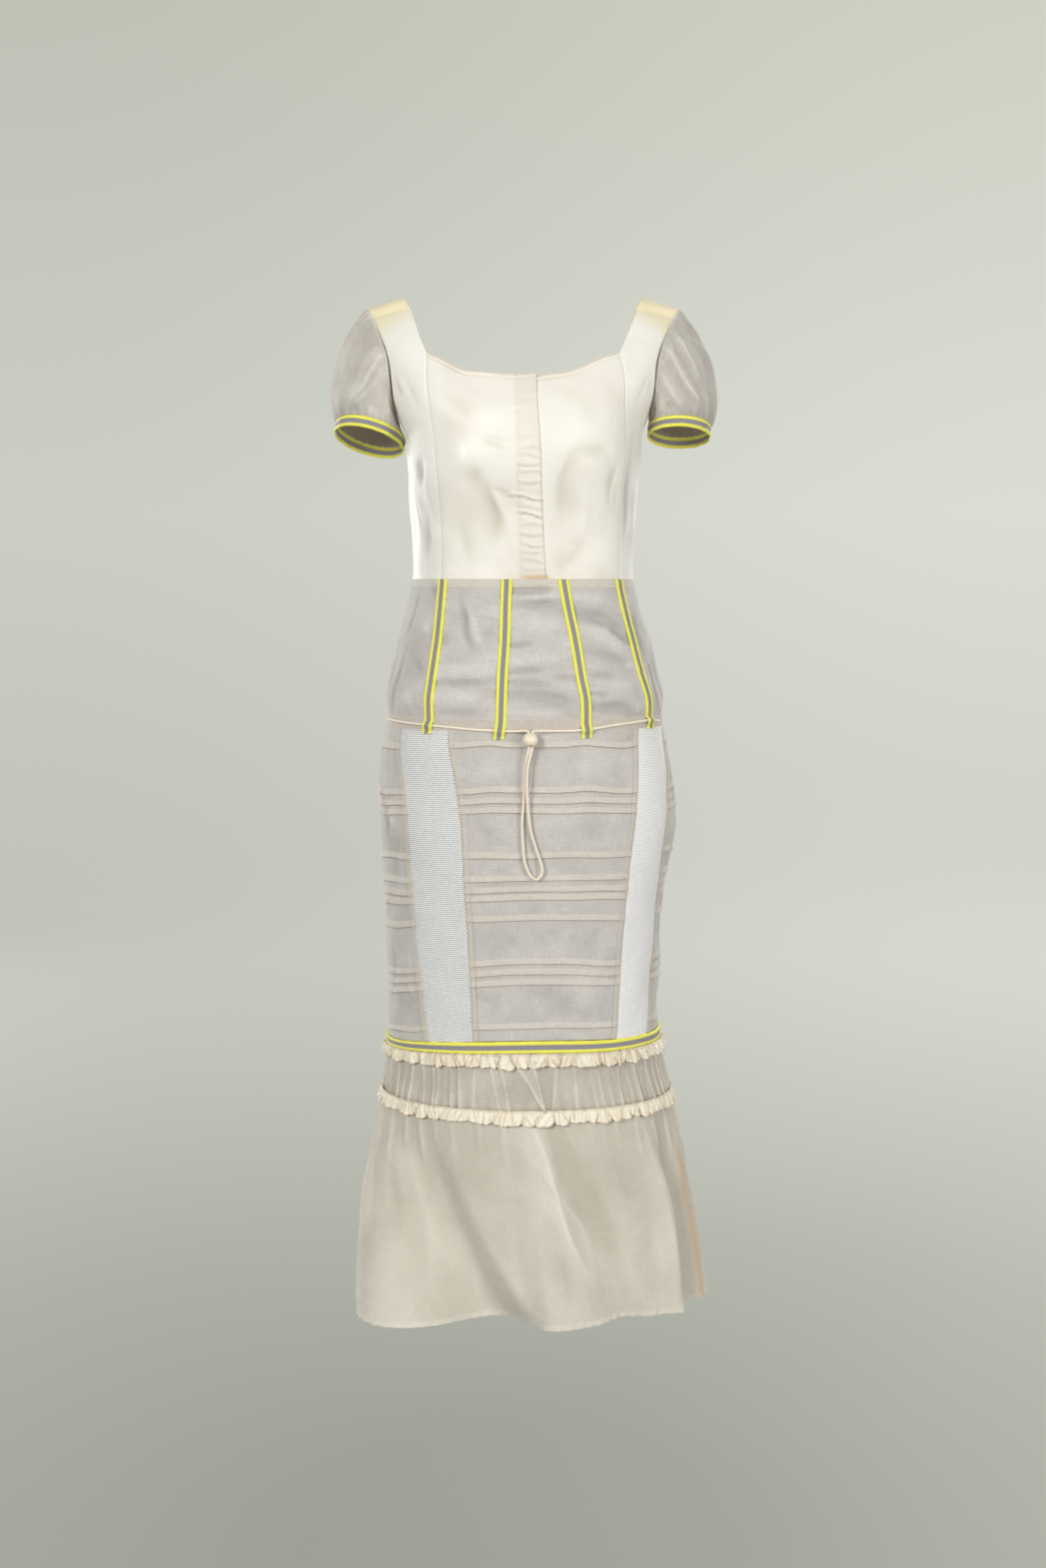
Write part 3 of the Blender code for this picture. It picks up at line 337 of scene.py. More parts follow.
FLOUNCE_CREASES = (
    # short gathers under the lower ruffle
    (-84, 984, -80, 1060, 4, 4, 1.7, 1), (-72, 984, -66, 1040, 3.5, 4, 1.3, 1),
    (-62, 984, -57, 1052, 3.5, 4, 1.5, 1), (-52, 984, -49, 1030, 3, 3.5, 1, 1),
    (-44, 984, -38, 1046, 3.5, 4, 1.4, 1), (-35, 984, -33, 1018, 3, 3, 0.9, 1),
    (-27, 984, -24, 1036, 3.5, 4, 1.2, 1), (-16, 984, -14, 1022, 3, 3.5, 0.9, 1),
    (-7, 984, -4, 1044, 3.5, 4, 1.3, 1), (5, 984, 10, 1034, 3, 3.5, 1.3, 1),
    (13, 984, 17, 1024, 3, 3.5, 0.9, 1), (22, 984, 24, 1016, 3, 3.5, 0.8, 1), (34, 984, 36, 1026, 3, 4, 0.9, 1),
    (44, 984, 46, 1040, 3.5, 4, 1.2, 1), (55, 984, 58, 1036, 3.5, 4, 1.2, 1),
    (66, 984, 69, 1052, 3, 3.5, 1.5, 1), (78, 984, 81, 1060, 3.5, 4, 1.4, 1),
    (89, 984, 92, 1040, 3, 3.5, 1.2, 1),
    # long soft creases between the folds
    (-88, 1010, -78, 1190, 5, 6, 2.2, 0.2), (-80, 1040, -70, 1206, 4, 5, -1.6, 0.1),
    (-70, 1020, -62, 1150, 6, 6, 1.6, 0.2), (-58, 1030, -46, 1130, 6, 8, -1.5, 0),
    (-64, 1132, -40, 1136, 3, 5, 0.8, 0), (-38, 1080, -30, 1190, 6, 8, 1.3, 0),
    (0, 1010, 22, 1150, 3, 4, 1.4, 0.3), (12, 1080, 24, 1200, 4, 5, 1, 0), (24, 1104, 42, 1214, 8, 9, 1.4, 0),
    (14, 1122, 27, 1117, 2.5, 3, 0.8, 0), (30, 1020, 40, 1100, 7, 8, -1, 0), (44, 1090, 50, 1200, 7, 8, 1.2, 0),
    (53, 1010, 58, 1160, 4, 5, 1.4, 0.2), (-20, 1150, -12, 1216, 4, 5, 1.2, 0),
    (96, 1000, 93, 1210, 6, 7, 1.8, 0.2), (106, 1010, 102, 1180, 6, 7, -1.6, 0),
    (128, 1000, 126, 1180, 7, 7, 1.6, 0.2), (140, 1020, 136, 1200, 6, 7, -1.4, 0),
    (160, 1000, 158, 1170, 7, 7, 1.5, 0.2), (168, 1040, 166, 1210, 6, 7, -1.4, 0),
    (190, 1000, 190, 1180, 7, 7, 1.6, 0.2), (200, 1030, 200, 1200, 6, 7, -1.4, 0),
    (222, 1000, 224, 1180, 7, 7, 1.6, 0.2), (232, 1030, 233, 1210, 6, 7, -1.4, 0),
    (252, 1000, 255, 1190, 7, 7, 1.7, 0.2), (262, 1020, 264, 1200, 6, 7, -1.5, 0),
)
# Long folds of the flounce along curves: angle and station of the points of the middle line, half width on
# either side, height, and the share of the height at the start
FLOUNCE_CURVES = (
    (((0.5, 975), (4.9, 1022), (9.6, 1090), (12.5, 1122), (16, 1148), (19, 1165), (23, 1190)),
     16, 3.6, 7.6, 0.6),
    (((6, 985), (10.5, 1030), (17, 1077), (21.5, 1101), (26, 1140), (29, 1180)), 8, 15, -3.4, 0.5),
    (((-41, 1000), (-34.6, 1037), (-25.3, 1080), (-17, 1119), (-11, 1159), (-7, 1196)), 24, 20, -0.8, 0.2),
    (((-52, 1010), (-45, 1050), (-37, 1095), (-29, 1140), (-22, 1185)), 10, 7, 2.6, 0.2),
    (((1, 1070), (7, 1115), (10, 1160), (12, 1205)), 10, 6, -3, 0),
    (((47, 985), (50, 1030), (54, 1090), (56, 1160), (57, 1205)), 7, 5, 2.2, 0.5),
    (((107, 985), (104, 1060), (99, 1130), (97, 1205)), 9, 7, 2.6, 0.5),
    (((137, 985), (133, 1060), (130, 1130), (129, 1205)), 9, 7, 2.4, 0.5),
    (((165, 985), (166, 1070), (163, 1140), (162, 1205)), 8, 9, 2.4, 0.5),
    (((196, 985), (196, 1070), (198, 1140), (199, 1205)), 9, 7, 2.6, 0.5),
    (((224, 985), (227, 1070), (229, 1140), (229, 1205)), 8, 8, 2.2, 0.5),
    (((252, 985), (254, 1070), (255, 1140), (257, 1205)), 8, 8, 2.4, 0.5),
)
# Creases of the sleeves: turn and fall of their start and end, half width on either side, height, start share
SLEEVE_SCALE = (0.75, 120.0)
SLEEVE_BACK_CREASES = (
    (340, 0, 330, 0.6, 4, 5, 1.5, 0.8), (296, 0.05, 300, 0.8, 4, 5, -1.5, 0.4),
    (272, 0, 280, 0.6, 4, 4, 1.4, 0.8), (236, 0.1, 240, 0.9, 4, 5, -1.4, 0.4),
    (212, 0.1, 214, 0.9, 3, 4, 1.3, 0.4),
)
SLEEVE_CREASES = {
    "right": (
        (128, 0.1, 118, 0.9, 4, 5, 1.1, 0.4), (40, 1, 38, 0.7, 3, 4, 1, 1), (98, 1, 92, 0.75, 3, 4, 1.2, 1),
        (70, 1, 68, 0.8, 3, 4, -0.9, 1), (112, 0.3, 100, 0.5, 3, 4, 0.7, 0),
        (150, 0.1, 146, 0.9, 3, 4, -1.3, 0.5),
        *SLEEVE_BACK_CREASES,
    ),
    "left": (
        (124, 0.1, 122, 0.9, 3, 4, 1.1, 0.4), (48, 1, 44, 0.7, 3, 4, 1.1, 1), (74, 1, 72, 0.8, 3, 4, 0.9, 1),
        (112, 0.9, 108, 0.6, 3, 4, -0.8, 0.3), (146, 0.1, 146, 0.9, 3, 4, -1.3, 0.5),
        *SLEEVE_BACK_CREASES,
    ),
}
# Slanting folds of the sleeves' fronts along curves: turn and fall of the points of the middle line, half width
# on either side, height, and the share of the height at the start
SLEEVE_CURVES = {
    "right": (
        (((86, 0), (85, 0.12), (84, 0.41), (75, 0.69), (60, 0.84), (48, 0.98)), 3, 4.5, 1.2, 0.4),
        (((92, 0.1), (91, 0.38), (81, 0.66), (66, 0.83), (56, 0.95)), 4, 4, -0.9, 0),
        (((98, 0.15), (96, 0.36), (86, 0.64), (72, 0.82), (50, 0.97)), 3, 4, 0.9, 0),
        (((80, 0), (77, 0.06), (72, 0.2)), 1.6, 2.2, 0.9, 1),
        (((88, 0), (86, 0.05), (81, 0.22)), 1.6, 2.2, 0.8, 1),
        (((12, 0.3), (22, 0.53), (27, 0.69), (30, 0.88)), 4, 5, 0.8, 0),
        (((16, 0), (24, 0.37), (38, 0.52), (46, 0.72)), 4, 6, 0.7, 0.3),
        (((56, 0.05), (62, 0.3), (60, 0.6), (46, 0.8)), 5, 6, -0.7, 0),
    ),
    "left": (
        (((74, 0), (76, 0.14), (80, 0.42), (74, 0.65), (54, 0.91), (48, 1)), 2.6, 4.5, 1.4, 0.6),
        (((84, 0.05), (89, 0.42), (83, 0.68), (64, 0.92)), 4, 4, -1, 0),
        (((98, 0), (100, 0.09), (103, 0.45), (92, 0.83), (80, 0.97)), 2.6, 4, 1.1, 0.5),
        (((55, 0), (56, 0.23), (57, 0.38), (55, 0.56), (50, 0.72)), 2.6, 4.5, 1.2, 0.5),
        (((65, 0.03), (67, 0.3), (66, 0.55), (56, 0.78)), 4, 4, -0.9, 0),
        (((42, 0.1), (38, 0.28), (24, 0.38), (13, 0.5), (11, 0.7)), 3, 4, 0.8, 0),
        (((64, 0), (66, 0.05), (70, 0.26)), 1.6, 2.2, 0.8, 1),
        (((90, 0), (91, 0.06), (92, 0.2)), 1.6, 2.2, 0.8, 1),
    ),
}


def around(angle):
    """The angle between -180 and 180, by the remainder of whole turns."""
    return (np.asarray(angle, float) + 180.0) % 360.0 - 180.0


def share_of_turn(angle, start):
    """Share of a whole turn from a starting angle to this one."""
    return (angle - start) % 360.0 / 360.0


def curve_through(table, column, x):
    """A smooth curve through a table's points: third-degree stretches whose slopes come from the neighbours."""
    xs, ys = table[:, 0], table[:, column]
    x = np.clip(np.asarray(x, float), xs[0], xs[-1])
    slope = np.gradient(ys, xs)
    i = np.clip(np.searchsorted(xs, x, side="right") - 1, 0, len(xs) - 2)
    h = xs[i + 1] - xs[i]
    t = (x - xs[i]) / h
    return (ys[i] * (1 + 2 * t) * (1 - t) ** 2 + ys[i + 1] * t * t * (3 - 2 * t)
            + h * (slope[i] * t * (1 - t) ** 2 - slope[i + 1] * t * t * (1 - t)))


def skin(angle, station):
    """Points of the worn form: a squared ellipse at each station, by the sine and cosine to the power of 2 over
    the squareness. Behind the shoulders a station is negative."""
    angle, station = np.broadcast_arrays(np.asarray(angle, float), np.asarray(station, float))
    s = np.abs(station)
    turned = np.where(station < 0, np.sign(angle) * 180.0 - angle, angle)
    height, half, centre, front, back = (curve_through(SECTIONS, k, s) for k in range(1, 6))
    sine, cosine = np.sin(np.radians(turned)), np.cos(np.radians(turned))
    power = 2.0 / SQUARENESS
    across = half * np.sign(sine) * np.abs(sine) ** power
    depth = np.where(cosine > 0, front, back)
    y = -depth * np.sign(cosine) * np.abs(cosine) ** power
    on_shoulder = np.clip(1 - s / SHOULDER_END, 0, 1)
    z = height - SHOULDER_SLOPE * np.maximum(np.abs(across) - NECK_X, 0) * on_shoulder
    return np.stack([centre + across, y, z], -1)


def unit(vectors):
    """Vectors divided by their lengths."""
    return vectors / np.maximum(np.linalg.norm(vectors, axis=-1, keepdims=True), 1e-9)


def skin_normal(angle, station):
    """Outward directions of the worn form: the cross product of its slopes."""
    along = skin(angle, station + 2.0) - skin(angle, station - 2.0)
    across = skin(angle + 0.5, station) - skin(angle - 0.5, station)
    return unit(np.cross(along, across))


def raised_skin(angle, station, lift):
    """The worn form plus a height times its outward directions."""
    return skin(angle, station) + skin_normal(angle, station) * np.asarray(lift)[..., None]


def seam(table, stations):
    """Angles of a seam at its stations."""
    return curve_through(table, 1, stations)


def sag(angle, station):
    """How far below its level at the centre front a seam lies: its station's drop times its angle's share."""
    return curve_through(SAG_SHARE, 1, around(angle)) * curve_through(SAG_DROP, 1, station)


def even(first, last, count):
    """Evenly spaced values from the first to the last."""
    return np.linspace(first, last, count)


def between(low, high, columns):
    """Angles of a grid whose rows run evenly from one seam to the other."""
    low, high = np.atleast_1d(low), np.atleast_1d(high)
    return low[:, None] + (high - low)[:, None] * even(0, 1, columns)


def half_grid(half, rows, columns):
    """Angles and stations of a grid over the front or back half, whose rows sag as the seams do."""
    angle = np.broadcast_to(between(*HALVES[half], columns), (len(rows), columns))
    return angle, rows[:, None] + sag(angle, rows[:, None])


def smooth(x):
    """0 below 0, 1 above 1, and 3x^2 - 2x^3 between."""
    x = np.clip(x, 0, 1)
    return x * x * (3 - 2 * x)


def bell(x, half):
    """exp of minus the square of x over its half width."""
    return np.exp(-(x / half) ** 2)


def faded(t, length, held):
    """Share of a crease's height along it: up from the held share, and down to 0 over the same length."""
    return (held + (1 - held) * smooth(t / length)) * smooth((1 - t) / length)


def ridges(across, down, table, scale=(DEGREE, 1.0), roundness=2.0):
    """Sum of creases along straight lines. Across its line a crease is exp of minus the distance over its half
    width, to a power: 2 is a round bell, 1 a sharp crest."""
    height = np.zeros(np.broadcast(across, down).shape)
    for x0, y0, x1, y1, before, after, raised, held in table:
        run_x, run_y = (x1 - x0) * scale[0], (y1 - y0) * scale[1]
        dx, dy = around(across - x0) * scale[0], (down - y0) * scale[1]
        t = np.clip((dx * run_x + dy * run_y) / (run_x ** 2 + run_y ** 2), 0, 1)
        off_x, off_y = dx - t * run_x, dy - t * run_y
        width = np.where(run_x * off_y - run_y * off_x > 0, before, after)
        height += raised * faded(t, 0.45, held) * np.exp(-(np.hypot(off_x, off_y) / width) ** roundness)
    return height


def curved_ridges(angle, station, table, scale=(DEGREE, 1.0)):
    """Sum of creases along curves: as ridges, across a curved middle line, with the power 1.15 for a crest."""
    height = np.zeros(np.broadcast(angle, station).shape)
    for places, before, after, raised, held in table:
        line = np.array(places, float)[:, ::-1]
        run_down, run_across = line[-1] - line[0]
        t = (station - line[0, 0]) / run_down
        slant = math.hypot(1, run_across * scale[0] / (run_down * scale[1]))
        across = around(angle - curve_through(line, 1, station)) * scale[0] / slant
        width = np.where(across < 0, before, after)
        crest = np.exp(-np.abs(across / width) ** (1.15 if raised > 0 else 2.0))
        height += raised * faded(t, 0.35, held) * (t > -0.2) * crest
    return height


def crumples(angle, station, top, foot, count, seed, heights, lengths=(12.0, 40.0), widths=(1.4, 3.6),
             roundness=1.4):
    """Height of small crumples: ridges scattered by chance between two stations."""
    chance = np.random.default_rng(seed)
    x, y = chance.uniform(-90, 270, count), chance.uniform(top, foot, count)
    length, way = chance.uniform(*lengths, count), chance.uniform(0.0, math.pi, count)
    width, raised = chance.uniform(*widths, count), chance.uniform(*heights, count)
    table = np.stack([
        x, y, x + length * np.cos(way) / DEGREE, y + length * np.sin(way), width,
        width * chance.uniform(0.7, 2.2, count), raised * chance.choice([-1, 1], count), np.zeros(count)], 1)
    return ridges(angle, station, table, roundness=roundness)


def drift(angle, station, seed, shortest=34.0, longest=150.0, waves=16):
    """Gentle unevenness that meets itself round the dress: cosines of whole turns and mixed lengths, added."""
    chance = np.random.default_rng(seed)
    total = np.zeros(np.broadcast(angle, station).shape)
    for _ in range(waves):
        turns = chance.integers(-14, 15)
        length = chance.uniform(shortest, longest) * chance.choice([-1, 1])
        total += np.cos(np.radians(turns * angle) + 2 * math.pi * (station / length + chance.uniform()))
    return total / math.sqrt(waves)


def uneven_waves(share, count, seed, unevenness=0.55):
    """Phase of waves of uneven width: a straight rise plus slow sines, whole at both ends."""
    chance = np.random.default_rng(seed)
    phase = count * share
    for k in range(1, 9):
        phase = phase + unevenness * chance.uniform(-1, 1) * np.sin(math.pi * k * share) / math.sqrt(k)
    return 2 * math.pi * phase


def grid_normal(points):
    """Directions across a grid of points: the cross product of its slopes."""
    return unit(np.cross(np.gradient(points, axis=0), np.gradient(points, axis=1)))


def distance_along(points, axis=0):
    """Distance travelled along lines of points: the running sum of their steps."""
    step = np.linalg.norm(np.diff(points, axis=axis), axis=-1)
    return np.concatenate([np.zeros_like(step.take([0], axis)), np.cumsum(step, axis)], axis)


def edge_distances(points):
    """Distance of each point, along its row, from the first and from the last side edge."""
    from_first = distance_along(points, 1)
    return from_first, from_first[:, -1:] - from_first


def cloth_uv(points):
    """Thread coordinates in metres: across from the middle column, and down from the first row."""
    across = distance_along(points, 1)
    across -= across[:, [across.shape[1] // 2]]
    return np.stack([across, distance_along(points)], -1) * MM


# Making the pieces

def outwards(points, faces):
    """Turn faces round if the closed shape's signed volume is below zero. A triangle's fourth corner is -1."""
    corners = np.where(faces < 0, faces[:, :1], faces)
    a, b, c, d = (points[corners[:, k]] for k in range(4))
    volume = (a * np.cross(b, c)).sum() + (a * np.cross(c, d)).sum()
    return faces if volume > 0 else faces[:, ::-1]


def add_piece(name, points, faces, look, uv=None, fields=None, sharp=50):
    """A mesh object of three- and four-cornered faces, with its thread coordinates and named point values."""
    faces = outwards(points, faces)
    corners = faces.ravel()[faces.ravel() >= 0]
    ends = np.cumsum((faces >= 0).sum(1))
    mesh = bpy.data.meshes.new(name)
    mesh.vertices.add(len(points))
    mesh.vertices.foreach_set("co", (points * MM).ravel())
    mesh.loops.add(len(corners))
    mesh.loops.foreach_set("vertex_index", corners)
    mesh.polygons.add(len(faces))
    mesh.polygons.foreach_set("loop_start", np.concatenate([[0], ends[:-1]]))
    mesh.update(calc_edges=True)
    mesh.validate()
    if uv is not None:
        layer = mesh.uv_layers.new(name="threads")
        layer.data.foreach_set("uv", uv[corners].ravel())
    for key, values in (fields or {}).items():
        mesh.attributes.new(key, "FLOAT", "POINT").data.foreach_set("value", values.astype(np.float32))
    mesh.shade_smooth()
    mesh.set_sharp_from_angle(angle=math.radians(sharp))
    mesh.materials.append(look)
    made = bpy.data.objects.new(name, mesh)
    bpy.context.scene.collection.objects.link(made)
    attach(made, "root")
    return made


def stands_for(piece, node):
    """Hide the solid that a piece stands for."""
    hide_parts(node)
    return piece


def grid_faces(rows, columns):
    """Faces of a grid of points, numbered row by row."""
    first = (np.arange(rows - 1)[:, None] * columns + np.arange(columns - 1)).ravel()
    return np.stack([first, first + columns, first + columns + 1, first + 1], 1)


def ring_faces(rings, sides, closed=False):
    """Faces between neighbouring rings of points. Closed, the last ring meets the first."""
    start = np.arange(rings if closed else rings - 1)[:, None] * sides
    first = (start + np.arange(sides)).ravel()
    beside = (start + (np.arange(sides) + 1) % sides).ravel()
    return np.stack([first, beside, beside + sides, first + sides], 1) % (rings * sides)


def tube_faces(rings, sides):
    """Faces of a tube of rings, with a fan of four-cornered faces over each end."""
    k = np.arange(0, sides - 2, 2)
    cap = np.stack([np.zeros(len(k), int), k + 1, k + 2, (k + 3) % sides], 1)
    return np.concatenate([ring_faces(rings, sides), cap[:, ::-1], cap + (rings - 1) * sides])


def shell(name, outer, inner, look, fields=None, uv=None, sharp=50):
    """A closed cloth shell: an outer grid, an inner grid of every second row and column, and a rim that joins
    their four edges, where the outer edge's own points make triangles."""
    rows, columns = outer.shape[:2]
    kept = np.ix_(np.unique(np.r_[0:rows:2, rows - 1]), np.unique(np.r_[0:columns:2, columns - 1]))
    number = np.arange(rows * columns).reshape(rows, columns)
    inner_shape = number[kept].shape
    behind = np.full((rows, columns), -1)
    behind[kept] = rows * columns + np.arange(inner_shape[0] * inner_shape[1]).reshape(inner_shape)
    loop = np.concatenate([number[:-1, 0], number[-1, :-1], number[:0:-1, -1], number[0, :0:-1]])
    inner_loop = behind.ravel()[loop]
    last_kept = inner_loop[np.maximum.accumulate(np.where(inner_loop >= 0, np.arange(len(loop)), 0))]
    rim = np.stack([np.roll(loop, -1), loop, last_kept, np.roll(inner_loop, -1)], 1)
    back = grid_faces(*inner_shape)[:, ::-1] + rows * columns
    faces = np.concatenate([grid_faces(rows, columns), back, rim])
    points = np.concatenate([outer.reshape(-1, 3), inner[kept].reshape(-1, 3)])
    threads = cloth_uv(outer) if uv is None else uv
    threads = np.concatenate([threads.reshape(-1, 2), threads[kept].reshape(-1, 2)])
    marks = {"inside": np.repeat([0.0, 1.0], [rows * columns, inner_shape[0] * inner_shape[1]])}
    # tone marks: two layers of cloth and painted shade and highlight; tints and painted shade; painted shade
    # and highlight by height
    for key in ("doubled_and_painted_light", "tint_and_painted_shade", "lifted"):
        values = np.zeros((rows, columns)) + (fields or {}).get(key, 0.0)
        marks[key] = np.concatenate([values.ravel(), values[kept].ravel()])
    return add_piece(name, points, faces, look, threads, marks, sharp)


def cloth(name, outer, wall, look, fields=None, facing=1.0):
    """A shell whose inner side is the outer one set back by the wall along the cloth's own directions."""
    return shell(name, outer, outer - facing * grid_normal(outer) * wall, look, fields)


def seam_groove(points, depth=0.7, reach=1.5):
    """The dip of a panel's cloth into its side seams: a bell of the distance to the nearer one."""
    return -depth * bell(np.minimum(*edge_distances(points)), reach)


def make_panel(node, angle, station, look, lift, wall, groove=0.7, fields=None):
    """A panel that stands for a solid: the worn form plus its lift and the dips into its side seams."""
    lift = lift + seam_groove(skin(angle, station), groove)
    facing = 1.0 if angle[0, -1] > angle[0, 0] else -1.0
    outer = raised_skin(angle, station, lift)
    stands_for(cloth(node + "_cloth", outer, wall, look, fields, facing), node)


def surface_path(angle, station, lift):
    """A line on the cloth and the directions out of it."""
    return raised_skin(angle, station, lift), skin_normal(angle, station)


def stitch_row(path, normals, length, gap, thick):
    """Points and faces of stitches along a path: flattened tubes of four rings that dip at both ends."""
    travelled = distance_along(path)
    starts = np.arange(0.5 * gap, travelled[-1] - length, length + gap)
    share, rise, width = np.array([(0.0, -0.25, 0.5), (0.25, 0.1, 1.0), (0.75, 0.1, 1.0), (1.0, -0.25, 0.5)]).T
    places = starts[:, None] + share * length
    centre = np.stack([np.interp(places, travelled, path[:, k]) for k in range(3)], -1)
    up = unit(np.stack([np.interp(places, travelled, normals[:, k]) for k in range(3)], -1))
    side = unit(np.cross(unit(centre[:, -1:] - centre[:, :1]), up))
    turn = 2 * math.pi * np.arange(6) / 6
    centre = centre + up * (rise * thick)[:, None]
    points = centre[:, :, None] + (0.5 * thick * width)[None, :, None, None] * (
        side[:, :, None] * np.cos(turn)[:, None] + up[:, :, None] * 0.8 * np.sin(turn)[:, None])
    faces = tube_faces(4, 6)[None] + (np.arange(len(starts)) * 4 * 6)[:, None, None]
    return points.reshape(-1, 3), faces.reshape(-1, 4)


def stitching(name, rows, look, **sizes):
    """One piece of several rows of stitches, each a path with its outward directions."""
    points, faces, count = [], [], 0
    for path, normals in rows:
        made, corners = stitch_row(path, normals, **sizes)
        points.append(made)
        faces.append(corners + count)
        count += len(made)
    add_piece(name, np.concatenate(points), np.concatenate(faces), look, sharp=80)


# Finishes

def rgb(text):
    """Linear colour of a hexadecimal one."""
    values = [int(text[k:k + 2], 16) / 255 for k in (0, 2, 4)]
    return tuple(v / 12.92 if v <= 0.04045 else ((v + 0.055) / 1.055) ** 2.4 for v in values) + (1.0,)


class Finish:
    """A material and short ways to add its nodes."""

    def __init__(self, name):
        """A new material with its principled shader."""
        self.material = bpy.data.materials.new(name)
        self.material.use_nodes = True
        self.tree = self.material.node_tree
        self.shader = self.tree.nodes["Principled BSDF"]

    def node(self, kind, sockets=(), **settings):
        """A node with its settings, and its sockets linked or set."""
        made = self.tree.nodes.new("ShaderNode" + kind)
        for key, value in settings.items():
            setattr(made, key, value)
        for key, value in dict(sockets).items():
            if isinstance(value, bpy.types.NodeSocket):
                self.tree.links.new(value, made.inputs[key])
            else:
                made.inputs[key].default_value = value
        return made

    def number(self, operation, first, second=0.0):
        """A number worked out from one or two."""
        return self.node("Math", {0: first, 1: second}, operation=operation).outputs[0]

    def times(self, first, second):
        """The product of two numbers."""
        return self.number("MULTIPLY", first, second)

    def plus(self, first, second):
        """The sum of two numbers."""
        return self.number("ADD", first, second)

    def mix(self, share, first, second):
        """The first colour, and the second by its share."""
        return self.node("Mix", {0: share, 6: first, 7: second}, data_type="RGBA").outputs[2]

    def ramp(self, value, low, high, to_low=0.0, to_high=1.0):
        """A smooth step from one value to another between two ends."""
        made = self.node("MapRange", {0: value, 1: low, 2: high, 3: to_low, 4: to_high})
        made.interpolation_type = "SMOOTHSTEP"
        return made.outputs[0]

    def scaled(self, colour, factor):
        """A colour times a number."""
        return self.node("VectorMath", {0: colour, "Scale": factor}, operation="SCALE").outputs[0]

    def mark(self, name):
        """A named value of the piece's points."""
        return self.node("Attribute", attribute_name=name).outputs["Fac"]

    def place(self):
        """The place on the dress, in metres."""
        return self.node("TexCoord").outputs["Object"]

    def threads(self, across=1.0, down=1.0):
        """The cloth's own coordinates, stretched across and down."""
        uv = self.node("UVMap", uv_map="threads").outputs[0]
        return self.node("VectorMath", {0: uv, 1: (across, down, 1.0)}, operation="MULTIPLY").outputs[0]

    def noise(self, where, scale, detail=2.0, roughness=0.5):
        """Soft noise with a number of spots a metre."""
        sockets = {"Vector": where, "Scale": scale, "Detail": detail, "Roughness": roughness}
        return self.node("TexNoise", sockets).outputs["Fac"]

    def bump(self, height, distance, under=None):
        """A relief of a height in metres, over another."""
        sockets = {"Height": height, "Distance": distance}
        if under is not None:
            sockets["Normal"] = under
        return self.node("Bump", sockets).outputs[0]

    def done(self, colour, normal=None, **constants):
        """The finished material: its colour, its relief and plain values for other sockets."""
        self.tree.links.new(colour, self.shader.inputs["Base Color"])
        if normal is not None:
            self.tree.links.new(normal, self.shader.inputs["Normal"])
        for key, value in constants.items():
            self.shader.inputs[key.replace("_", " ")].default_value = value
        return self.material


def woven(name, sunk, lifted, doubled_and_painted_light, tint_and_painted_shade, inside, clouds, slub=0.09, **constants):
    """Sheer plain weave: painted shade, greyer where it lies close, and painted highlight, paler where it
    stands off, two crossed thread waves, slubs drawn out along both threads, and tones of its own: paler for
    two layers and painted highlights, tan for tints and painted shade, and one seen from inside."""
    made = Finish(name)
    place = made.place()
    cloud = made.ramp(made.noise(place, 26.0, 3.0, 0.55), 0.3, 0.7, -clouds, clouds)
    # painted shade and highlight by height: greyer where the cloth lies close, paler where it stands off
    stands = made.plus(made.plus(made.mark("lifted"), cloud), 0.5)
    tone = made.mix(made.ramp(stands, 0.0, 1.0), rgb(sunk), rgb(lifted))
    # paler for two layers of cloth and for painted highlights, tan for tints and for painted shade
    tone = made.mix(made.mark("doubled_and_painted_light"), tone, rgb(doubled_and_painted_light))
    tone = made.mix(made.mark("tint_and_painted_shade"), tone, rgb(tint_and_painted_shade))
    tone = made.mix(made.times(made.mark("inside"), 0.85), tone, rgb(inside))
    along = made.noise(made.threads(70.0, 760.0), 1.0, 3.0, 0.65)
    across = made.noise(made.threads(760.0, 70.0), 1.0, 3.0, 0.65)
    slubs = made.times(made.plus(along, across), 0.5)
    tone = made.scaled(tone, made.ramp(slubs, 0.34, 0.66, 1.0 - slub, 1.0 + slub))
    uv = made.node("SeparateXYZ", {0: made.threads(2 * math.pi / LAWN_THREAD, 2 * math.pi / LAWN_THREAD)})
    weave = made.times(made.number("SINE", uv.outputs[0]), made.number("SINE", uv.outputs[1]))
    fine = made.bump(made.plus(weave, made.times(slubs, 3.0)), LAWN_RELIEF)
    return made.done(tone, made.bump(made.noise(place, 120.0, 4.0, 0.6), LAWN_CRUMPLE, fine), **constants)


def satin(name, face, shade, inside, tint_and_painted_shade, painted_hollow_shade, ripple=0.00035, ripples=75.0, **constants):
    """Satin: fine slanting floats, a slow drift between two creams, soft ripples of relief, painted shade in
    its hollows and shaded places, a third tone, mostly painted shade, where it is marked, and a tone on its
    inside."""
    made = Finish(name)
    place = made.place()
    tone = made.mix(made.ramp(made.noise(place, 14.0), 0.35, 0.72), rgb(face), rgb(shade))
    # painted shade: the darker tone in hollows and shaded places
    tone = made.mix(made.mark("doubled_and_painted_light"), tone, rgb(painted_hollow_shade))
    # the third tone, mostly painted shade: tan at the neck, the waist and in the ruffles' creases, yellow near
    # the shoulders
    tone = made.mix(made.mark("tint_and_painted_shade"), tone, rgb(tint_and_painted_shade))
    tone = made.mix(made.times(made.mark("inside"), 0.8), tone, rgb(inside))
    uv = made.node("SeparateXYZ", {0: made.threads(2 * math.pi / FLOAT_LENGTH, 2 * math.pi / FLOAT_WIDTH)})
    fine = made.bump(made.number("SINE", made.plus(uv.outputs[0], uv.outputs[1])), FLOAT_RELIEF)
    return made.done(tone, made.bump(made.noise(place, ripples), ripple, fine), **constants)


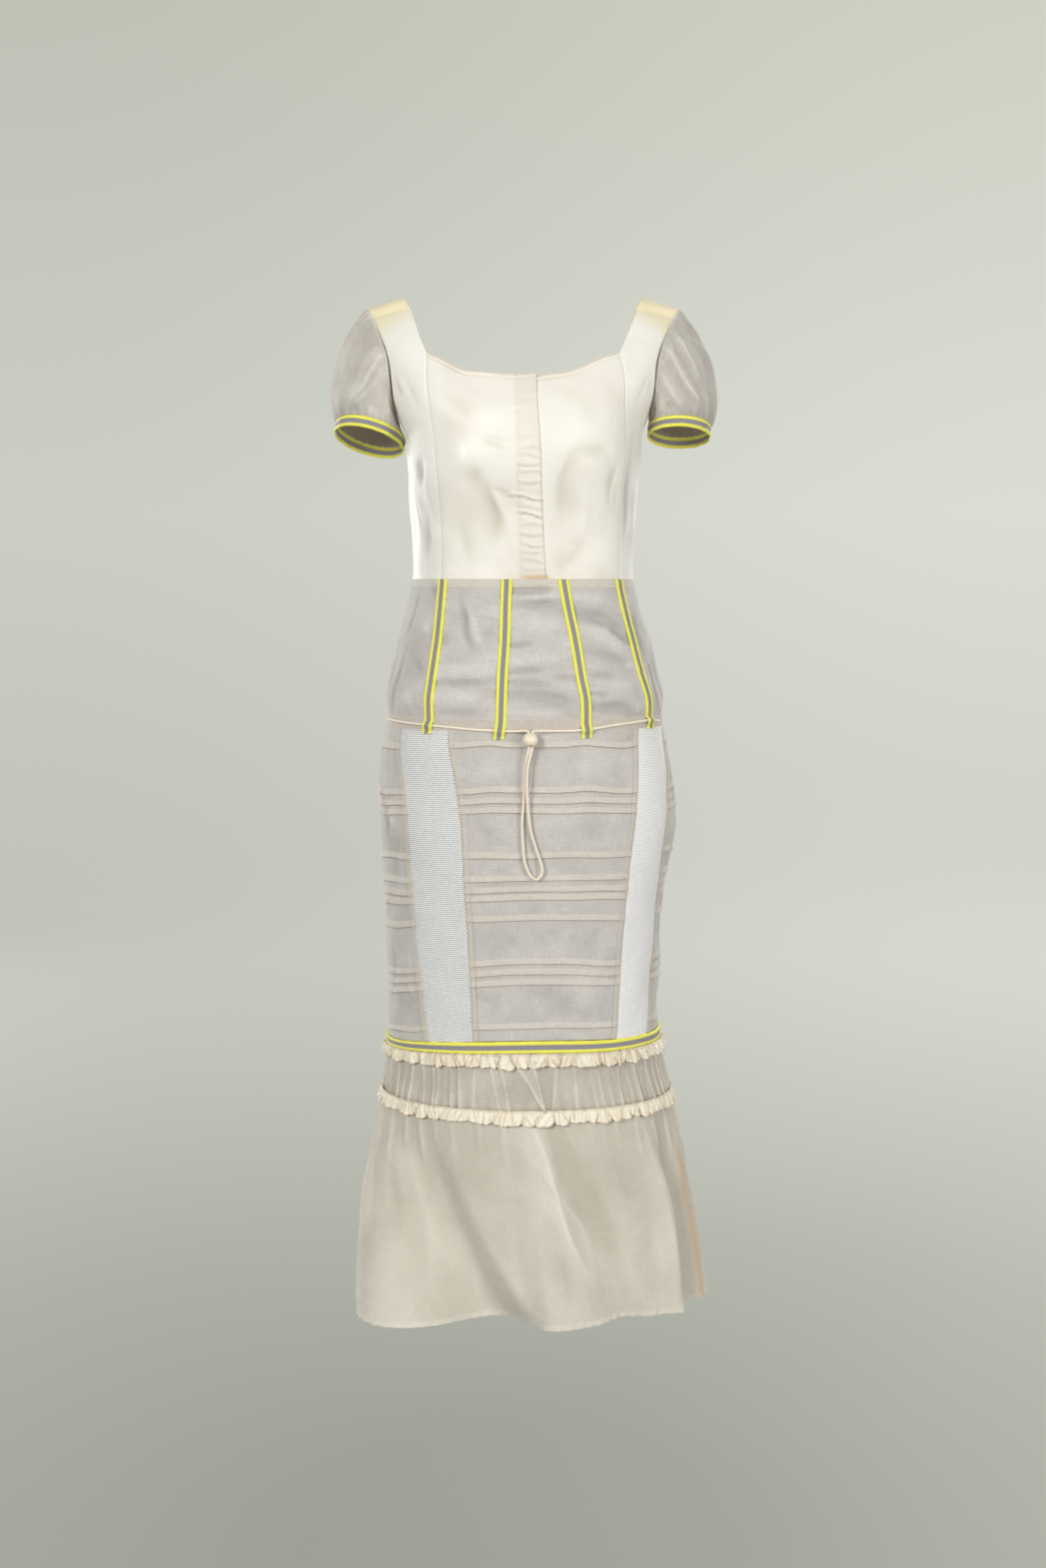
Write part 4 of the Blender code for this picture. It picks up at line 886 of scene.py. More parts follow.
def eyelet_mesh(name, across, down, wide, high, depth):
    """White net: staggered oval holes in a knitted ground, painted dark as the shade inside the dress seen
    through them. A cell's hole is where its point, measured in the hole's half width and half height, lies less
    than 1 from the cell's middle."""
    made = Finish(name)
    uv = made.node("SeparateXYZ", {0: made.threads(1 / across, 1 / down)})
    row = made.number("FLOOR", uv.outputs[1])
    odd = made.times(made.number("FLOORED_MODULO", row, 2.0), 0.5)
    x = made.number("SUBTRACT", made.number("FRACT", made.plus(uv.outputs[0], odd)), 0.5)
    y = made.number("SUBTRACT", made.number("FRACT", uv.outputs[1]), 0.5)
    x, y = made.times(x, across / wide), made.times(y, down / high)
    reach = made.number("SQRT", made.plus(made.times(x, x), made.times(y, y)))
    hole = made.ramp(reach, 0.75, 1.15, 1.0, 0.0)
    rim = made.ramp(reach, 1.0, 1.8, 1.0, 0.0)
    ground = made.mix(made.noise(made.place(), 300.0, 2.0), rgb("f0efec"), rgb("dcdbd7"))
    uneven = made.ramp(made.noise(made.threads(160.0, 160.0), 1.0, 2.0), 0.3, 0.7, 0.75 * depth, depth)
    # painted shade in the holes, of uneven strength: a dark grey-blue for the dress's shaded inside
    tone = made.mix(made.times(hole, uneven), ground, rgb("5d5f64"))
    tone = made.mix(made.times(made.mark("inside"), 0.4), tone, rgb("d5d5d0"))
    height = made.number("SUBTRACT", made.times(rim, 0.4), made.times(hole, 1.2))
    return made.done(tone, made.bump(height, 0.0003), Roughness=0.75, Sheen_Weight=0.1)


def striped_tape():
    """Tape: two ribbed yellow edges beside a grey middle of slanting light and dark threads, all of them sines.
    The second thread coordinate is the distance from the tape's middle."""
    made = Finish("striped tape")
    uv = made.node("SeparateXYZ", {0: made.threads()})
    along, off = uv.outputs[0], made.number("ABSOLUTE", uv.outputs[1])

    def waves(distance, length):
        """Phase of waves of a length, in metres."""
        return made.times(distance, 2 * math.pi / length)

    ragged = made.times(made.number("SINE", waves(along, 0.0013)), 0.00022)
    edge = made.ramp(made.plus(off, ragged), 0.0024, 0.0029)
    braid = made.number("SINE", made.plus(waves(along, 0.0019), waves(off, 0.0026)))
    grey = made.mix(made.ramp(braid, -0.6, 0.9), rgb("757176"), rgb("9f9a9b"))
    grey = made.mix(made.noise(made.place(), 420.0), grey, rgb("857f84"))
    yellow = made.mix(made.noise(made.place(), 260.0), rgb("fdfa5c"), rgb("f1eb48"))
    rib = made.number("SINE", waves(along, 0.0011))
    height = made.plus(made.times(edge, rib), made.times(braid, 0.7))
    return made.done(made.mix(edge, grey, yellow), made.bump(height, 0.00014), Roughness=0.62, Sheen_Weight=0.2)


def spun_cotton(name, face, shade, grain, relief, **constants):
    """Cord and sewing thread: two close tones mixed by a fine noise, over a relief of noise."""
    made = Finish(name)
    place = made.place()
    tone = made.mix(made.noise(place, 900.0), rgb(face), rgb(shade))
    return made.done(tone, made.bump(made.noise(place, 1.0 / grain), relief), **constants)


def turned_wood():
    """Pale wood: rings drawn out along the bead's bore, and painted shade, near black, in the bore itself."""
    made = Finish("bead wood")
    place = made.place()
    stretched = made.node("Mapping", {"Vector": place, "Scale": (420.0, 420.0, 60.0)}).outputs[0]
    grain = made.noise(stretched, 1.0, 3.0, 0.6)
    tone = made.mix(made.ramp(grain, 0.35, 0.7), rgb("ece3ca"), rgb("dfd2b1"))
    # painted shade: a near black in the bore
    tone = made.mix(made.mark("bore"), tone, rgb("2b241c"))
    return made.done(tone, made.bump(grain, 0.00008), Roughness=0.42, Coat_Weight=0.15)


def studio_ground():
    """Pale grey-green paper that glows by itself as painted light, lightest at eye level. Its glow follows a
    place's height above the camera, divided by the sum of both distances from the middle, and grows a little to
    one side."""
    made = Finish("studio ground")
    x, y, z = made.node("SeparateXYZ", {0: made.place()}).outputs
    flat = made.number("SQRT", made.plus(made.times(x, x), made.times(y, y)))
    reach = made.plus(flat, -CAMERA_PLACE[1])
    slope = made.number("DIVIDE", made.number("SUBTRACT", z, CAMERA_PLACE[2]), reach)
    share = made.node("MapRange", {0: slope, 1: BACKDROP_SLOPES[0], 2: BACKDROP_SLOPES[1], 3: 0.0, 4: 1.0})
    ramp = made.node("ValToRGB", {0: share.outputs[0]})
    stops = ramp.color_ramp.elements
    stops[0].position, stops[0].color = BACKDROP[0][0], rgb(BACKDROP[0][1])
    stops[1].position, stops[1].color = BACKDROP[-1][0], rgb(BACKDROP[-1][1])
    for position, colour in BACKDROP[1:-1]:
        stops.new(position).color = rgb(colour)
    glow = made.scaled(ramp.outputs[0], made.ramp(made.number("DIVIDE", x, reach), -0.3, 0.3, 0.92, 1.09))
    made.tree.links.new(glow, made.shader.inputs["Emission Color"])
    return made.done(made.mix(0.95, glow, rgb("000000")), Roughness=0.95, Emission_Strength=0.95)


# Camera, ground and light

def make_camera():
    """The photograph's camera, level from side to side and pitched down."""
    data = bpy.data.cameras.new("camera")
    data.lens = CAMERA_LENS
    data.sensor_width = CAMERA_FRAME
    camera = bpy.data.objects.new("camera", data)
    camera.location = CAMERA_PLACE
    camera.rotation_euler = (math.radians(90 - CAMERA_PITCH), 0, 0)
    bpy.context.scene.collection.objects.link(camera)
    bpy.context.scene.camera = camera


def make_studio():
    """A round floor that curves up into a wall: a profile of radius and height turned round its middle."""
    bend = np.radians(even(0, 90, 13))
    radius = np.concatenate([[0.5, 1.5, 3.0], 4.5 + 2.5 * np.sin(bend), [7.0]])
    height = np.concatenate([[0, 0, 0], 2.5 - 2.5 * np.cos(bend), [6.5]]) + FLOOR
    turn = np.radians(even(0, 360, 97))[:-1]
    points = np.stack([
        radius[:, None] * np.sin(turn), radius[:, None] * np.cos(turn), height[:, None] + 0 * turn], -1)
    rings, sides = points.shape[:2]
    first = np.arange(sides)
    middle = np.stack([first, (first + 1) % sides, np.full(sides, rings * sides)], 1)
    faces = ring_faces(rings, sides)[:, ::-1].tolist() + middle.tolist()
    mesh = bpy.data.meshes.new("studio_ground")
    mesh.from_pydata(points.reshape(-1, 3).tolist() + [(0.0, 0.0, FLOOR)], [], faces)
    mesh.shade_smooth()
    mesh.materials.append(studio_ground())
    ground = bpy.data.objects.new("studio_ground", mesh)
    ground.visible_diffuse = False
    bpy.context.scene.collection.objects.link(ground)


def make_lights():
    """Even pale light from all round, and round soft lamps aimed at the middle of the dress."""
    world = bpy.data.worlds.new("studio")
    world.use_nodes = True
    colour, strength = world.node_tree.nodes["Background"].inputs[:2]
    colour.default_value, strength.default_value = SURROUNDING
    bpy.context.scene.world = world
    for name, place, power, size in LAMPS:
        data = bpy.data.lights.new(name, "AREA")
        data.shape, data.size, data.energy = "DISK", size, power
        lamp = bpy.data.objects.new(name, data)
        lamp.location = place
        lamp.rotation_euler = (Vector(LAMP_AIM) - Vector(place)).to_track_quat("-Z", "Y").to_euler()
        bpy.context.scene.collection.objects.link(lamp)


# The drawcord and its bead

def smooth_route(points, subdivisions):
    """Points of a smooth curve through a route: third-degree stretches, bent to suit the points beside them."""
    points = np.array(points)
    padded = np.vstack([2 * points[0] - points[1], points, 2 * points[-1] - points[-2]])
    before, start, end, after = (padded[k:len(padded) - 3 + k, None] for k in range(4))
    t = (np.arange(subdivisions) / subdivisions)[:, None]
    made = 0.5 * (2 * start + (end - before) * t + (2 * before - 5 * start + 4 * end - after) * t * t
                  + (3 * start - before - 3 * end + after) * t ** 3)
    return np.vstack([made.reshape(-1, 3), points[-1]])


def lying_cord(stretch):
    """Points of a stretch of cord on the waist: the worn form plus the cord's height."""
    angle = even(stretch[0, 0], stretch[-1, 0], 13)
    return raised_skin(angle, seam(stretch, angle), np.full(13, CORD_LIFT))


def spaced(path, step):
    """The same path with its points evenly apart, and their distances along it."""
    travelled = distance_along(path)
    places = even(0, travelled[-1], int(travelled[-1] / step) + 1)
    return np.stack([np.interp(places, travelled, path[:, k]) for k in range(3)], -1), places


def cord_route():
    """The whole route: along the right of the waist, through the bead, round the loop and along the left."""
    hanging = smooth_route(CORD_HANGING, 6)
    return np.vstack([
        smooth_route(lying_cord(CORD_FROM_RIGHT), 4), hanging, smooth_route(lying_cord(CORD_TO_LEFT), 4)])


def frame_along(path, hint):
    """Two directions across a path at each point, by cross products: one stands square to the way ahead and to
    a hint, the other leans towards the hint."""
    ahead = unit(np.gradient(path, axis=0))
    side = unit(np.cross(ahead, hint))
    return side, unit(np.cross(side, ahead))


def make_cord(look):
    """Three plies round the route: the radius swells three times round and the swelling turns along it."""
    path, places = spaced(cord_route(), 0.55)
    side, up = frame_along(path, np.array([0.3, -0.9, 0.2]))
    turn = 2 * math.pi * np.arange(12) / 12
    plies = np.cos(3 * (turn[None, :] + 2 * math.pi * places[:, None] / 9.0))
    radius = 0.5 * CORD_DIAMETER * (0.93 + 0.07 * plies)
    points = path[:, None] + radius[..., None] * (
        side[:, None] * np.cos(turn)[None, :, None] + up[:, None] * np.sin(turn)[None, :, None])
    cord = add_piece("cord_twisted", points.reshape(-1, 3), tube_faces(len(path), 12), look, sharp=80)
    return stands_for(cord, "drawcord"), path


def make_bead(look):
    """A ball bored from top to bottom: its outline and its flared bore turned round Z, the lower mouth cut
    higher in front, where the cord leaves it."""
    turn = 2 * math.pi * np.arange(64) / 64
    top = math.asin(BEAD_BORE / BEAD_RADIUS)
    foot = math.pi - top - 0.38 * bell(around(np.degrees(turn) - 270.0), 60.0)
    arc = even(0, 1, 33)[:, None]
    polar = top + (foot - top) * arc
    radius, height = BEAD_RADIUS * np.sin(polar), BEAD_RADIUS * np.cos(polar)
    up = even(1, 0, 13)[1:-1, None]
    bore_radius = BEAD_THROAT + (radius[-1] - BEAD_THROAT) * up ** 6 + (radius[0] - BEAD_THROAT) * (1 - up) ** 6
    bore_height = height[0] + (height[-1] - height[0]) * up
    # the bore's points, marked for its painted shade
    dark = np.repeat([0.0, 1.0], [radius.size, bore_radius.size])
    radius, height = np.vstack([radius, bore_radius]), np.vstack([height, bore_height])
    points = np.stack([radius * np.cos(turn), radius * np.sin(turn), height], -1) + np.array(BEAD_CENTRE)
    faces = ring_faces(*radius.shape, closed=True)
    bead = add_piece("bead_turned", points.reshape(-1, 3), faces, look, fields={"bore": dark}, sharp=60)
    return stands_for(bead, "bead")


# The bodice

def bodice_lift(angle, station):
    """Height of the bodice's cloth: its creases, the placket's puckers, crumples and a slow drift."""
    lift = ridges(angle + 1.2 * np.sin(station / 13.0), station, BODICE_CREASES)
    right_seam, left_seam = seam(PLACKET_RIGHT, station), seam(PLACKET_LEFT, station)
    across, half = angle - 0.5 * (right_seam + left_seam), 0.5 * (left_seam - right_seam)
    for level, raised, right, left in PLACKET_PUCKERS:
        below = station - (level + 1.6 * np.sin(0.45 * across + level) + 0.25 * across)
        reach = smooth((across + half + right) / (right + 2.2)) * smooth((half + left - across) / (left + 1.6))
        lift = lift + 0.62 * (raised + 0.3) * reach * (bell(below, 1.9) - 0.8 * bell(below - 3.6, 1.9))
    lift = 1.5 * lift + crumples(angle, station, 130, 366, 90, 111, (0.15, 0.5), roundness=1.6)
    held = 0.35 + 0.65 * smooth((WAIST - station) / 22.0)
    return lift * held + 0.35 * drift(angle, station, 11) * smooth((station - 90) / 60)


def painted_shade_share(angle, station, lift):
    """Share of the satin's painted shade: the shaded places, and a little more wherever the cloth lies low."""
    places = ridges(angle + 1.5 * np.sin(station / 17.0), station, BODICE_PAINTED_SHADE, roundness=1.6)
    # painted shade, a little deeper where the cloth lies low
    return np.clip(1.35 * places + 0.04 - 0.08 * lift, 0, 0.85)


def bodice_rows():
    """Stations of the bodice's rows, closer together under the neckline."""
    return np.concatenate([even(NECK_FOOT, NECK_FOOT + 8, 11)[:-1], even(NECK_FOOT + 8, WAIST, 111)])


def side_angle(station):
    """Angle of the bodice's outer edge: the armhole's, and the side seam's below it."""
    return np.where(station < ARMHOLE_FOOT, seam(ARMHOLE, station), 90.0)


def neckline(angle):
    """Station of the front's top edge at an angle."""
    return curve_through(FRONT_NECKLINE, 1, angle)


def front_station(angle, rows):
    """Stations of the fronts' rows: the neckline's curve, levelled out by a power on the way to the waist."""
    fade = ((WAIST - rows) / (WAIST - NECK_FOOT))[:, None] ** 1.5
    station = rows[:, None] + fade * (neckline(angle) - NECK_FOOT)
    return station + sag(angle, station)


def make_fronts(look):
    """The two fronts and the placket: a turned edge at the neck, a step up at the placket's free edge, and
    painted
    shade: a tan shadow line under the neck's turned edge, and tan towards the waist."""
    rows = bodice_rows()
    below = (rows - NECK_FOOT)[:, None]
    for node, low, high, columns in (
            ("bodice_front_right", PRINCESS_RIGHT, PLACKET_RIGHT, 47),
            ("placket", PLACKET_RIGHT, PLACKET_LEFT, 13),
            ("bodice_front_left", PLACKET_LEFT, PRINCESS_LEFT, 53)):
        angle = between(seam(low, rows), seam(high, rows), columns)
        station = front_station(angle, rows)
        lift = bodice_lift(angle, station)
        groove, duller = 0.7, 0.0
        if node == "placket":
            lift = lift + 0.2 + 0.9 * smooth(1.6 * even(0, 1, columns))
            groove, duller = 0.15, 0.25
        if node == "bodice_front_left":
            station = station + 3.2 * bell(angle - 4.0, 4.5) * smooth((190 - rows) / 60)[:, None]
        lift = lift + 0.4 * smooth((3.4 - below) / 0.8) - 0.4 * bell(below - 3.8, 0.6)
        # painted shade: tan towards the waist seam and most under the placket's open foot; a tan painted shadow
        # line under the turned edge at the neck
        at_waist = smooth((rows - 359) / 5)[:, None] * smooth((angle + 1) / 2) * smooth((12 - angle) / 3)
        tint_and_painted_shade = 0.16 * smooth((rows - 355) / 11)[:, None] + 0.75 * at_waist
        rolled = 0.3 + 0.6 * bell(angle + 25, 7.0) + 0.5 * bell(angle - 9, 6.0)
        fields = {"tint_and_painted_shade": tint_and_painted_shade + rolled * bell(below - 3.8, 0.7),
                  # painted shade by the satin's shaded places, and a fixed share of the same darker tone over
                  # the whole placket
                  "doubled_and_painted_light": painted_shade_share(angle, station, lift) + duller}
        make_panel(node, angle, station, look, lift, SATIN_WALL, groove, fields)


def make_side_front(side, princess, look):
    """A side front that runs up as a wide strap, painted yellower towards its top as shade where the satin's
    sheen falls off over the shoulder.
    """
    rows = np.concatenate([even(STRAP_SEAM, NECK_FOOT, 37)[:-1], bodice_rows()])
    inner = np.where(rows < NECK_FOOT, SIGN[side] * seam(NECK_EDGE, rows), seam(princess, rows))
    angle = between(inner, SIGN[side] * side_angle(rows), 45)
    station = rows[:, None] + sag(angle, rows[:, None])
    lift = bodice_lift(angle, station)
    # painted shade: yellower towards the shoulder, where the sheen falls off
    fields = {"tint_and_painted_shade": 0.85 * smooth((104 - station - 1.1 * (62 - np.abs(angle))) / 44),
              # painted shade: darker satin in the side front's shaded places
              "doubled_and_painted_light": painted_shade_share(angle, station, lift)}
    make_panel("side_front_" + side, angle, station, look, lift, SATIN_WALL, fields=fields)


def make_strap(side, look):
    """A back strap over the shoulder, whose outer edge waves a little, as a sine."""
    rows = np.concatenate([even(-NECK_FOOT, -12, 46), even(-10, 10, 13), even(12, STRAP_SEAM, 18)])
    angle = SIGN[side] * between(seam(NECK_EDGE, np.abs(rows)), seam(ARMHOLE, np.abs(rows)), 37)
    station = np.broadcast_to(rows[:, None], angle.shape)
    wave = 0.5 * np.sin(station / 9.0) * bell(np.abs(angle) - 56, 9.0) * bell(station + 60, 50)
    lift = 0.3 * bell(station - STRAP_SEAM, 3.0) + wave
    make_panel("strap_" + side, angle, station, look, lift, SATIN_WALL)


def make_bodice_back(look):
    """The plain back, whose neckline dips as a parabola."""
    rows = bodice_rows()
    angle = between(180.0 - side_angle(rows), 180.0 + side_angle(rows), 113)
    dip = BACK_NECK_DIP * np.clip(1 - ((angle - 180.0) / seam(NECK_EDGE, NECK_FOOT)) ** 2, 0, 1)
    station = rows[:, None] + dip * ((WAIST - rows) / (WAIST - NECK_FOOT))[:, None]
    station = station + sag(angle, station)
    lift = bodice_lift(angle, station)
    # painted shade: darker satin in the back's shaded places
    fields = {"doubled_and_painted_light": painted_shade_share(angle, station, lift)}
    make_panel("bodice_back", angle, station, look, lift, SATIN_WALL, fields=fields)


def make_bodice_sewing(look):
    """Topstitching beside the princess seams and the placket's edges."""
    rows = []
    station = even(122, 364, 160)
    for princess in (PRINCESS_RIGHT, PRINCESS_LEFT):
        for aside in (-1.15, 1.15):
            angle = seam(princess, station) + aside
            level = station + sag(angle, station)
            rows.append(surface_path(angle, level, bodice_lift(angle, level) + 0.05))
    station = even(150, 364, 160)
    for edge, aside, over in ((PLACKET_RIGHT, -0.9, 0.1), (PLACKET_LEFT, -0.7, 1.15)):
        angle = seam(edge, station) + aside
        rows.append(surface_path(angle, station, bodice_lift(angle, station) + over))
    stitching("bodice_topstitching", rows, look, length=1.9, gap=0.8, thick=0.34)


def make_neck_facing(look):
    """The strip inside the front's neckline: rows at a drop under the edge, set in from the cloth."""
    drop, inset = np.array([
        (-1.3, 0.5), (-1.2, 0.9), (-0.6, 1.3), (2.0, 1.5), (5.0, 1.55), (8.5, 1.6), (12.0, 1.7)]).T[:, :, None]
    angle = even(-36.6, 36.6, 151) + 0 * drop
    edge = neckline(angle) + sag(angle, neckline(angle)) + 3.2 * bell(angle - 4.6, 3.0) * (angle > 4.0)
    cloth("neck_facing", raised_skin(angle, edge + drop, -inset), NET_WALL, look)


# Sleeves and cuffs

def armhole_point(turn, side):
    """Point of the armhole at a turn round it: 0 at the shoulder, 90 in front, 180 under the arm."""
    front = np.sin(np.radians(turn)) >= 0
    share = np.where(turn > 180.0, 360.0 - turn, turn) / 180.0
    station = ARMHOLE_FOOT * np.sin(0.5 * math.pi * share) ** 1.15
    angle = SIGN[side] * seam(ARMHOLE, station)
    return raised_skin(angle, np.where(front, station, -station), np.full(turn.shape, 0.4))


def cuff_point(turn, side, drop):
    """Point of a cuff's ring, a distance below its top: an ellipse in a tilted plane."""
    x, z, out_drop, back_drop, half_width, half_depth = CUFFS[side]
    out = half_width * np.cos(np.radians(turn))
    forward = half_depth * np.sin(np.radians(turn))
    height = z - out_drop * out + back_drop * forward
    down = unit(np.array([-SIGN[side] * out_drop, 0.5 * back_drop, -1.0]))
    return np.stack([x + SIGN[side] * out, -forward, height], -1) + down * np.asarray(drop)[..., None]


def between_ends(pair, turn):
    """Value at a turn round the sleeve, by its cosine, between those at the shoulder and the underarm."""
    return 0.5 * (pair[0] + pair[1]) + 0.5 * (pair[0] - pair[1]) * np.cos(np.radians(turn))


def sleeve_surface(turn, fall, side):
    """A Bezier curve for each turn, from the armhole out over the puff and in to the cuff's top."""
    cosine, sine = np.cos(np.radians(turn)), np.sin(np.radians(turn))
    out, forward, down = SLEEVE_LEAVING
    sideways = np.full(turn.shape, SIGN[side] * out)
    leaving = unit(np.stack([sideways, -forward * sine, -down * np.abs(cosine)], -1))
    start = armhole_point(turn, side) + leaving * SLEEVE_SET_IN
    end = cuff_point(turn, side, np.full(turn.shape, -0.3))
    outward = np.stack([SIGN[side] * cosine, -sine, np.zeros(turn.shape)], -1)
    first = start + leaving * between_ends(SLEEVE_REACH_OUT, turn)[..., None]
    second = end + outward * between_ends(SLEEVE_PUFF, turn)[..., None]
    second[..., 2] += between_ends(SLEEVE_REACH_UP, turn)
    t = fall[..., None]
    return start * (1 - t) ** 3 + first * 3 * t * (1 - t) ** 2 + second * 3 * t * t * (1 - t) + end * t ** 3


def sleeve_creases(turn, fall, side, narrowed=1.0):
    """Height of the sleeve's creases along lines and curves, with their widths multiplied."""
    lines = [(*row[:4], narrowed * row[4], narrowed * row[5], *row[6:]) for row in SLEEVE_CREASES[side]]
    curves = [(row[0], narrowed * row[1], narrowed * row[2], *row[3:]) for row in SLEEVE_CURVES[side]]
    return (ridges(turn + 4 * np.sin(7 * fall), fall, lines, SLEEVE_SCALE, 1.3)
            + curved_ridges(turn, fall, curves, SLEEVE_SCALE))


def sleeve_lift(turn, fall, side):
    """The sleeve's broad ridges, its creases, and gathers that die away from the armhole and the cuff."""
    height = np.zeros(turn.shape)
    for top, foot, half, raised in SLEEVE_RIDGES[side]:
        share = np.clip((turn - top - (foot - top) * fall) / half, -1, 1)
        height += 0.45 * raised * np.cos(0.5 * math.pi * share) ** 2
    height *= np.sin(math.pi * fall)
    held = smooth(fall / 0.12) * smooth((1 - fall) / 0.1)
    height += 1.9 * sleeve_creases(turn, fall, side) * (0.25 + 0.75 * held)
    share = share_of_turn(turn, -180.0)
    at_head = np.cos(uneven_waves(share, 34, 5)) * np.exp(-fall / 0.10) * bell(around(turn), 120.0)
    at_cuff = np.cos(uneven_waves(share, 30, 8)) * np.exp(-(1 - fall) / 0.10)
    clear = smooth((180.0 - np.abs(around(turn))) / 25.0)
    height += (0.75 * at_head * smooth(fall / 0.03) + 0.7 * at_cuff) * (0.3 + 0.7 * clear)
    return height * (0.2 + 0.8 * clear)


def make_sleeve(side, look):
    """A puff sleeve with its seam under the arm, paler in two layers at the armhole and along its sharp crests
    as painted highlight.
    """
    turn, fall = np.meshgrid(even(-179.4, 179.4, 211) % 360.0, even(0, 1, 65))
    points, lift = sleeve_surface(turn, fall, side), sleeve_lift(turn, fall, side)
    outer = points - SIGN[side] * grid_normal(points) * lift[..., None]
    # painted highlight along the sharp crests; painted shade and highlight by height, the sleeve's own painted
    # shade, and painted light where it turns towards the bodice, against the shadow there
    crest = np.clip(sleeve_creases(turn, fall, side, 0.45) - 0.25, 0, None)
    fields = {"doubled_and_painted_light": np.clip(0.5 * bell(fall, 0.02) + 0.5 * crest, 0, 0.8),
              "lifted": 0.13 * lift - SLEEVE_SHADE[side] + 0.35 * bell(turn - 118, 36.0)}
    sleeve = cloth("sleeve_%s_cloth" % side, outer, LAWN_WALL, look, fields, -SIGN[side])
    stands_for(sleeve, "sleeve_" + side)


def across_tape(edge, thick, drop, rib=0.5, half=0.24, last=0.12):
    """Height across a tape: its thickness, a bell near the edge for the rib, and a smooth drop at the edge."""
    return thick + rib * bell(edge - 0.68, half) - drop * smooth((edge - 1 + last) / last)


def tape_threads(along, off):
    """Thread coordinates of a tape in metres: along it, and off its middle."""
    return np.stack(np.broadcast_arrays(along, off), -1) * MM


def make_cuff(side, look):
    """A cuff of striped tape: ellipses one below the other, with ribs, a fluttering foot and scallops."""
    turns = even(-179.8, 179.8, 261)
    turn, drop = np.meshgrid(turns % 360.0, even(0, CUFF_HEIGHT, 13))
    along = np.radians(turns) * 0.5 * (CUFFS[side][4] + CUFFS[side][5])
    flutter = 0.5 * np.sin(uneven_waves(share_of_turn(turn, -180.0), 11, 3)) * (drop / CUFF_HEIGHT)
    edge = np.abs(drop / CUFF_HEIGHT * 2 - 1)
    scallop = 0.3 * np.abs(np.sin(along / 1.1)) * (edge > 0.98) * np.sign(drop - 0.5 * CUFF_HEIGHT)
    ring = cuff_point(turn, side, drop + scallop)
    outward = unit(np.stack([ring[..., 0] - CUFFS[side][0], ring[..., 1], np.zeros(turn.shape)], -1))
    swell = across_tape(edge, 0.0, 0.5, 0.55, 0.26, 0.15)
    outer = ring + outward * (swell + flutter)[..., None]
    inner = ring + outward * (flutter - 0.9)[..., None]
    threads = tape_threads(along, drop - 0.5 * CUFF_HEIGHT)
    cuff = shell("cuff_%s_tape" % side, outer, inner, look, uv=threads)
    stands_for(cuff, "cuff_" + side)


# Midriff and tapes

def tape_middle(name, station):
    """Angle of a tape's middle line: a curve of the second degree through its three angles."""
    at_waist, at_middle, at_cord, cord_station = TAPES[name]
    share = (station - WAIST - 1.5) / (cord_station - WAIST - 1.5)
    return (at_waist + (4 * at_middle - 3 * at_waist - at_cord) * share
            + 2 * (at_waist + at_cord - 2 * at_middle) * share ** 2)


def tape_drags(angle, station):
    """Short drags beside the tapes: bells across slanting lines, that die away from the tape."""
    chance = np.random.default_rng(21)
    height = np.zeros(np.broadcast(angle, station).shape)
    for name in TAPES:
        middle = tape_middle(name, station)
        for side in (-1, 1):
            beside = (around(angle) - middle) * side * DEGREE - 0.5 * TAPE_WIDTH
            for level in np.arange(384, 520, 6.5):
                level = level + chance.uniform(-2.2, 2.2)
                long, high, slant = chance.uniform(4, 13), chance.uniform(0.1, 0.8), chance.uniform(-0.3, 0.5)
                reach = np.exp(-np.clip(beside, 0, None) / long) * smooth((beside + 4) / 3)
                height += high * reach * bell(station - level - slant * beside, 1.7)
    return height


def midriff_lift(angle, station):
    """Height of the midriff's cloth: creases, drags, crumples, a slow drift, a turned strip and a channel."""
    lift = ridges(angle + np.sin(station / 11.0), station, MIDRIFF_CREASES) + tape_drags(angle, station)
    lift = 1.8 * lift + crumples(angle, station, 376, 520, 170, 112, (0.2, 0.7))
    lift = lift + 0.35 * drift(angle, station, 12, 26.0, 110.0)
    held = smooth((station - WAIST) / 10) * smooth((CORD_LEVEL - station) / 8)
    lift = lift * (0.25 + 0.75 * held) * (1 - 0.6 * bell(station - 526.5, 5.0))
    return lift + 0.35 * smooth(STRIP_FOOT - station) + 0.45 * smooth((station - CHANNEL_TOP) / 1.2)


def make_midriff(half, look):
    """Half of the midriff, paler where its turned top and the channel double it."""
    rows = np.concatenate([
        even(WAIST, 374.4, 6), [375.0, 375.6], even(377, 519.5, 78), [520.3, 521.0, 521.8],
        even(523, CORD_LEVEL, 8)])
    angle, station = half_grid(half, rows, 201 if half == "front" else 141)
    lift = midriff_lift(angle, station - sag(angle, station))
    channel = smooth(rows - CHANNEL_TOP + 0.1)[:, None]
    strip = smooth((STRIP_FOOT + 0.1 - rows) / 0.8)[:, None]
    # painted shade and highlight by height: greyer where the cloth lies close, paler where it stands off
    fields = {"doubled_and_painted_light": strip + 0.8 * channel, "tint_and_painted_shade": 0.22 * channel, "lifted": 0.24 * lift}
    make_panel("midriff_" + half, angle, station, look, lift, LAWN_WALL, 0.5, fields)


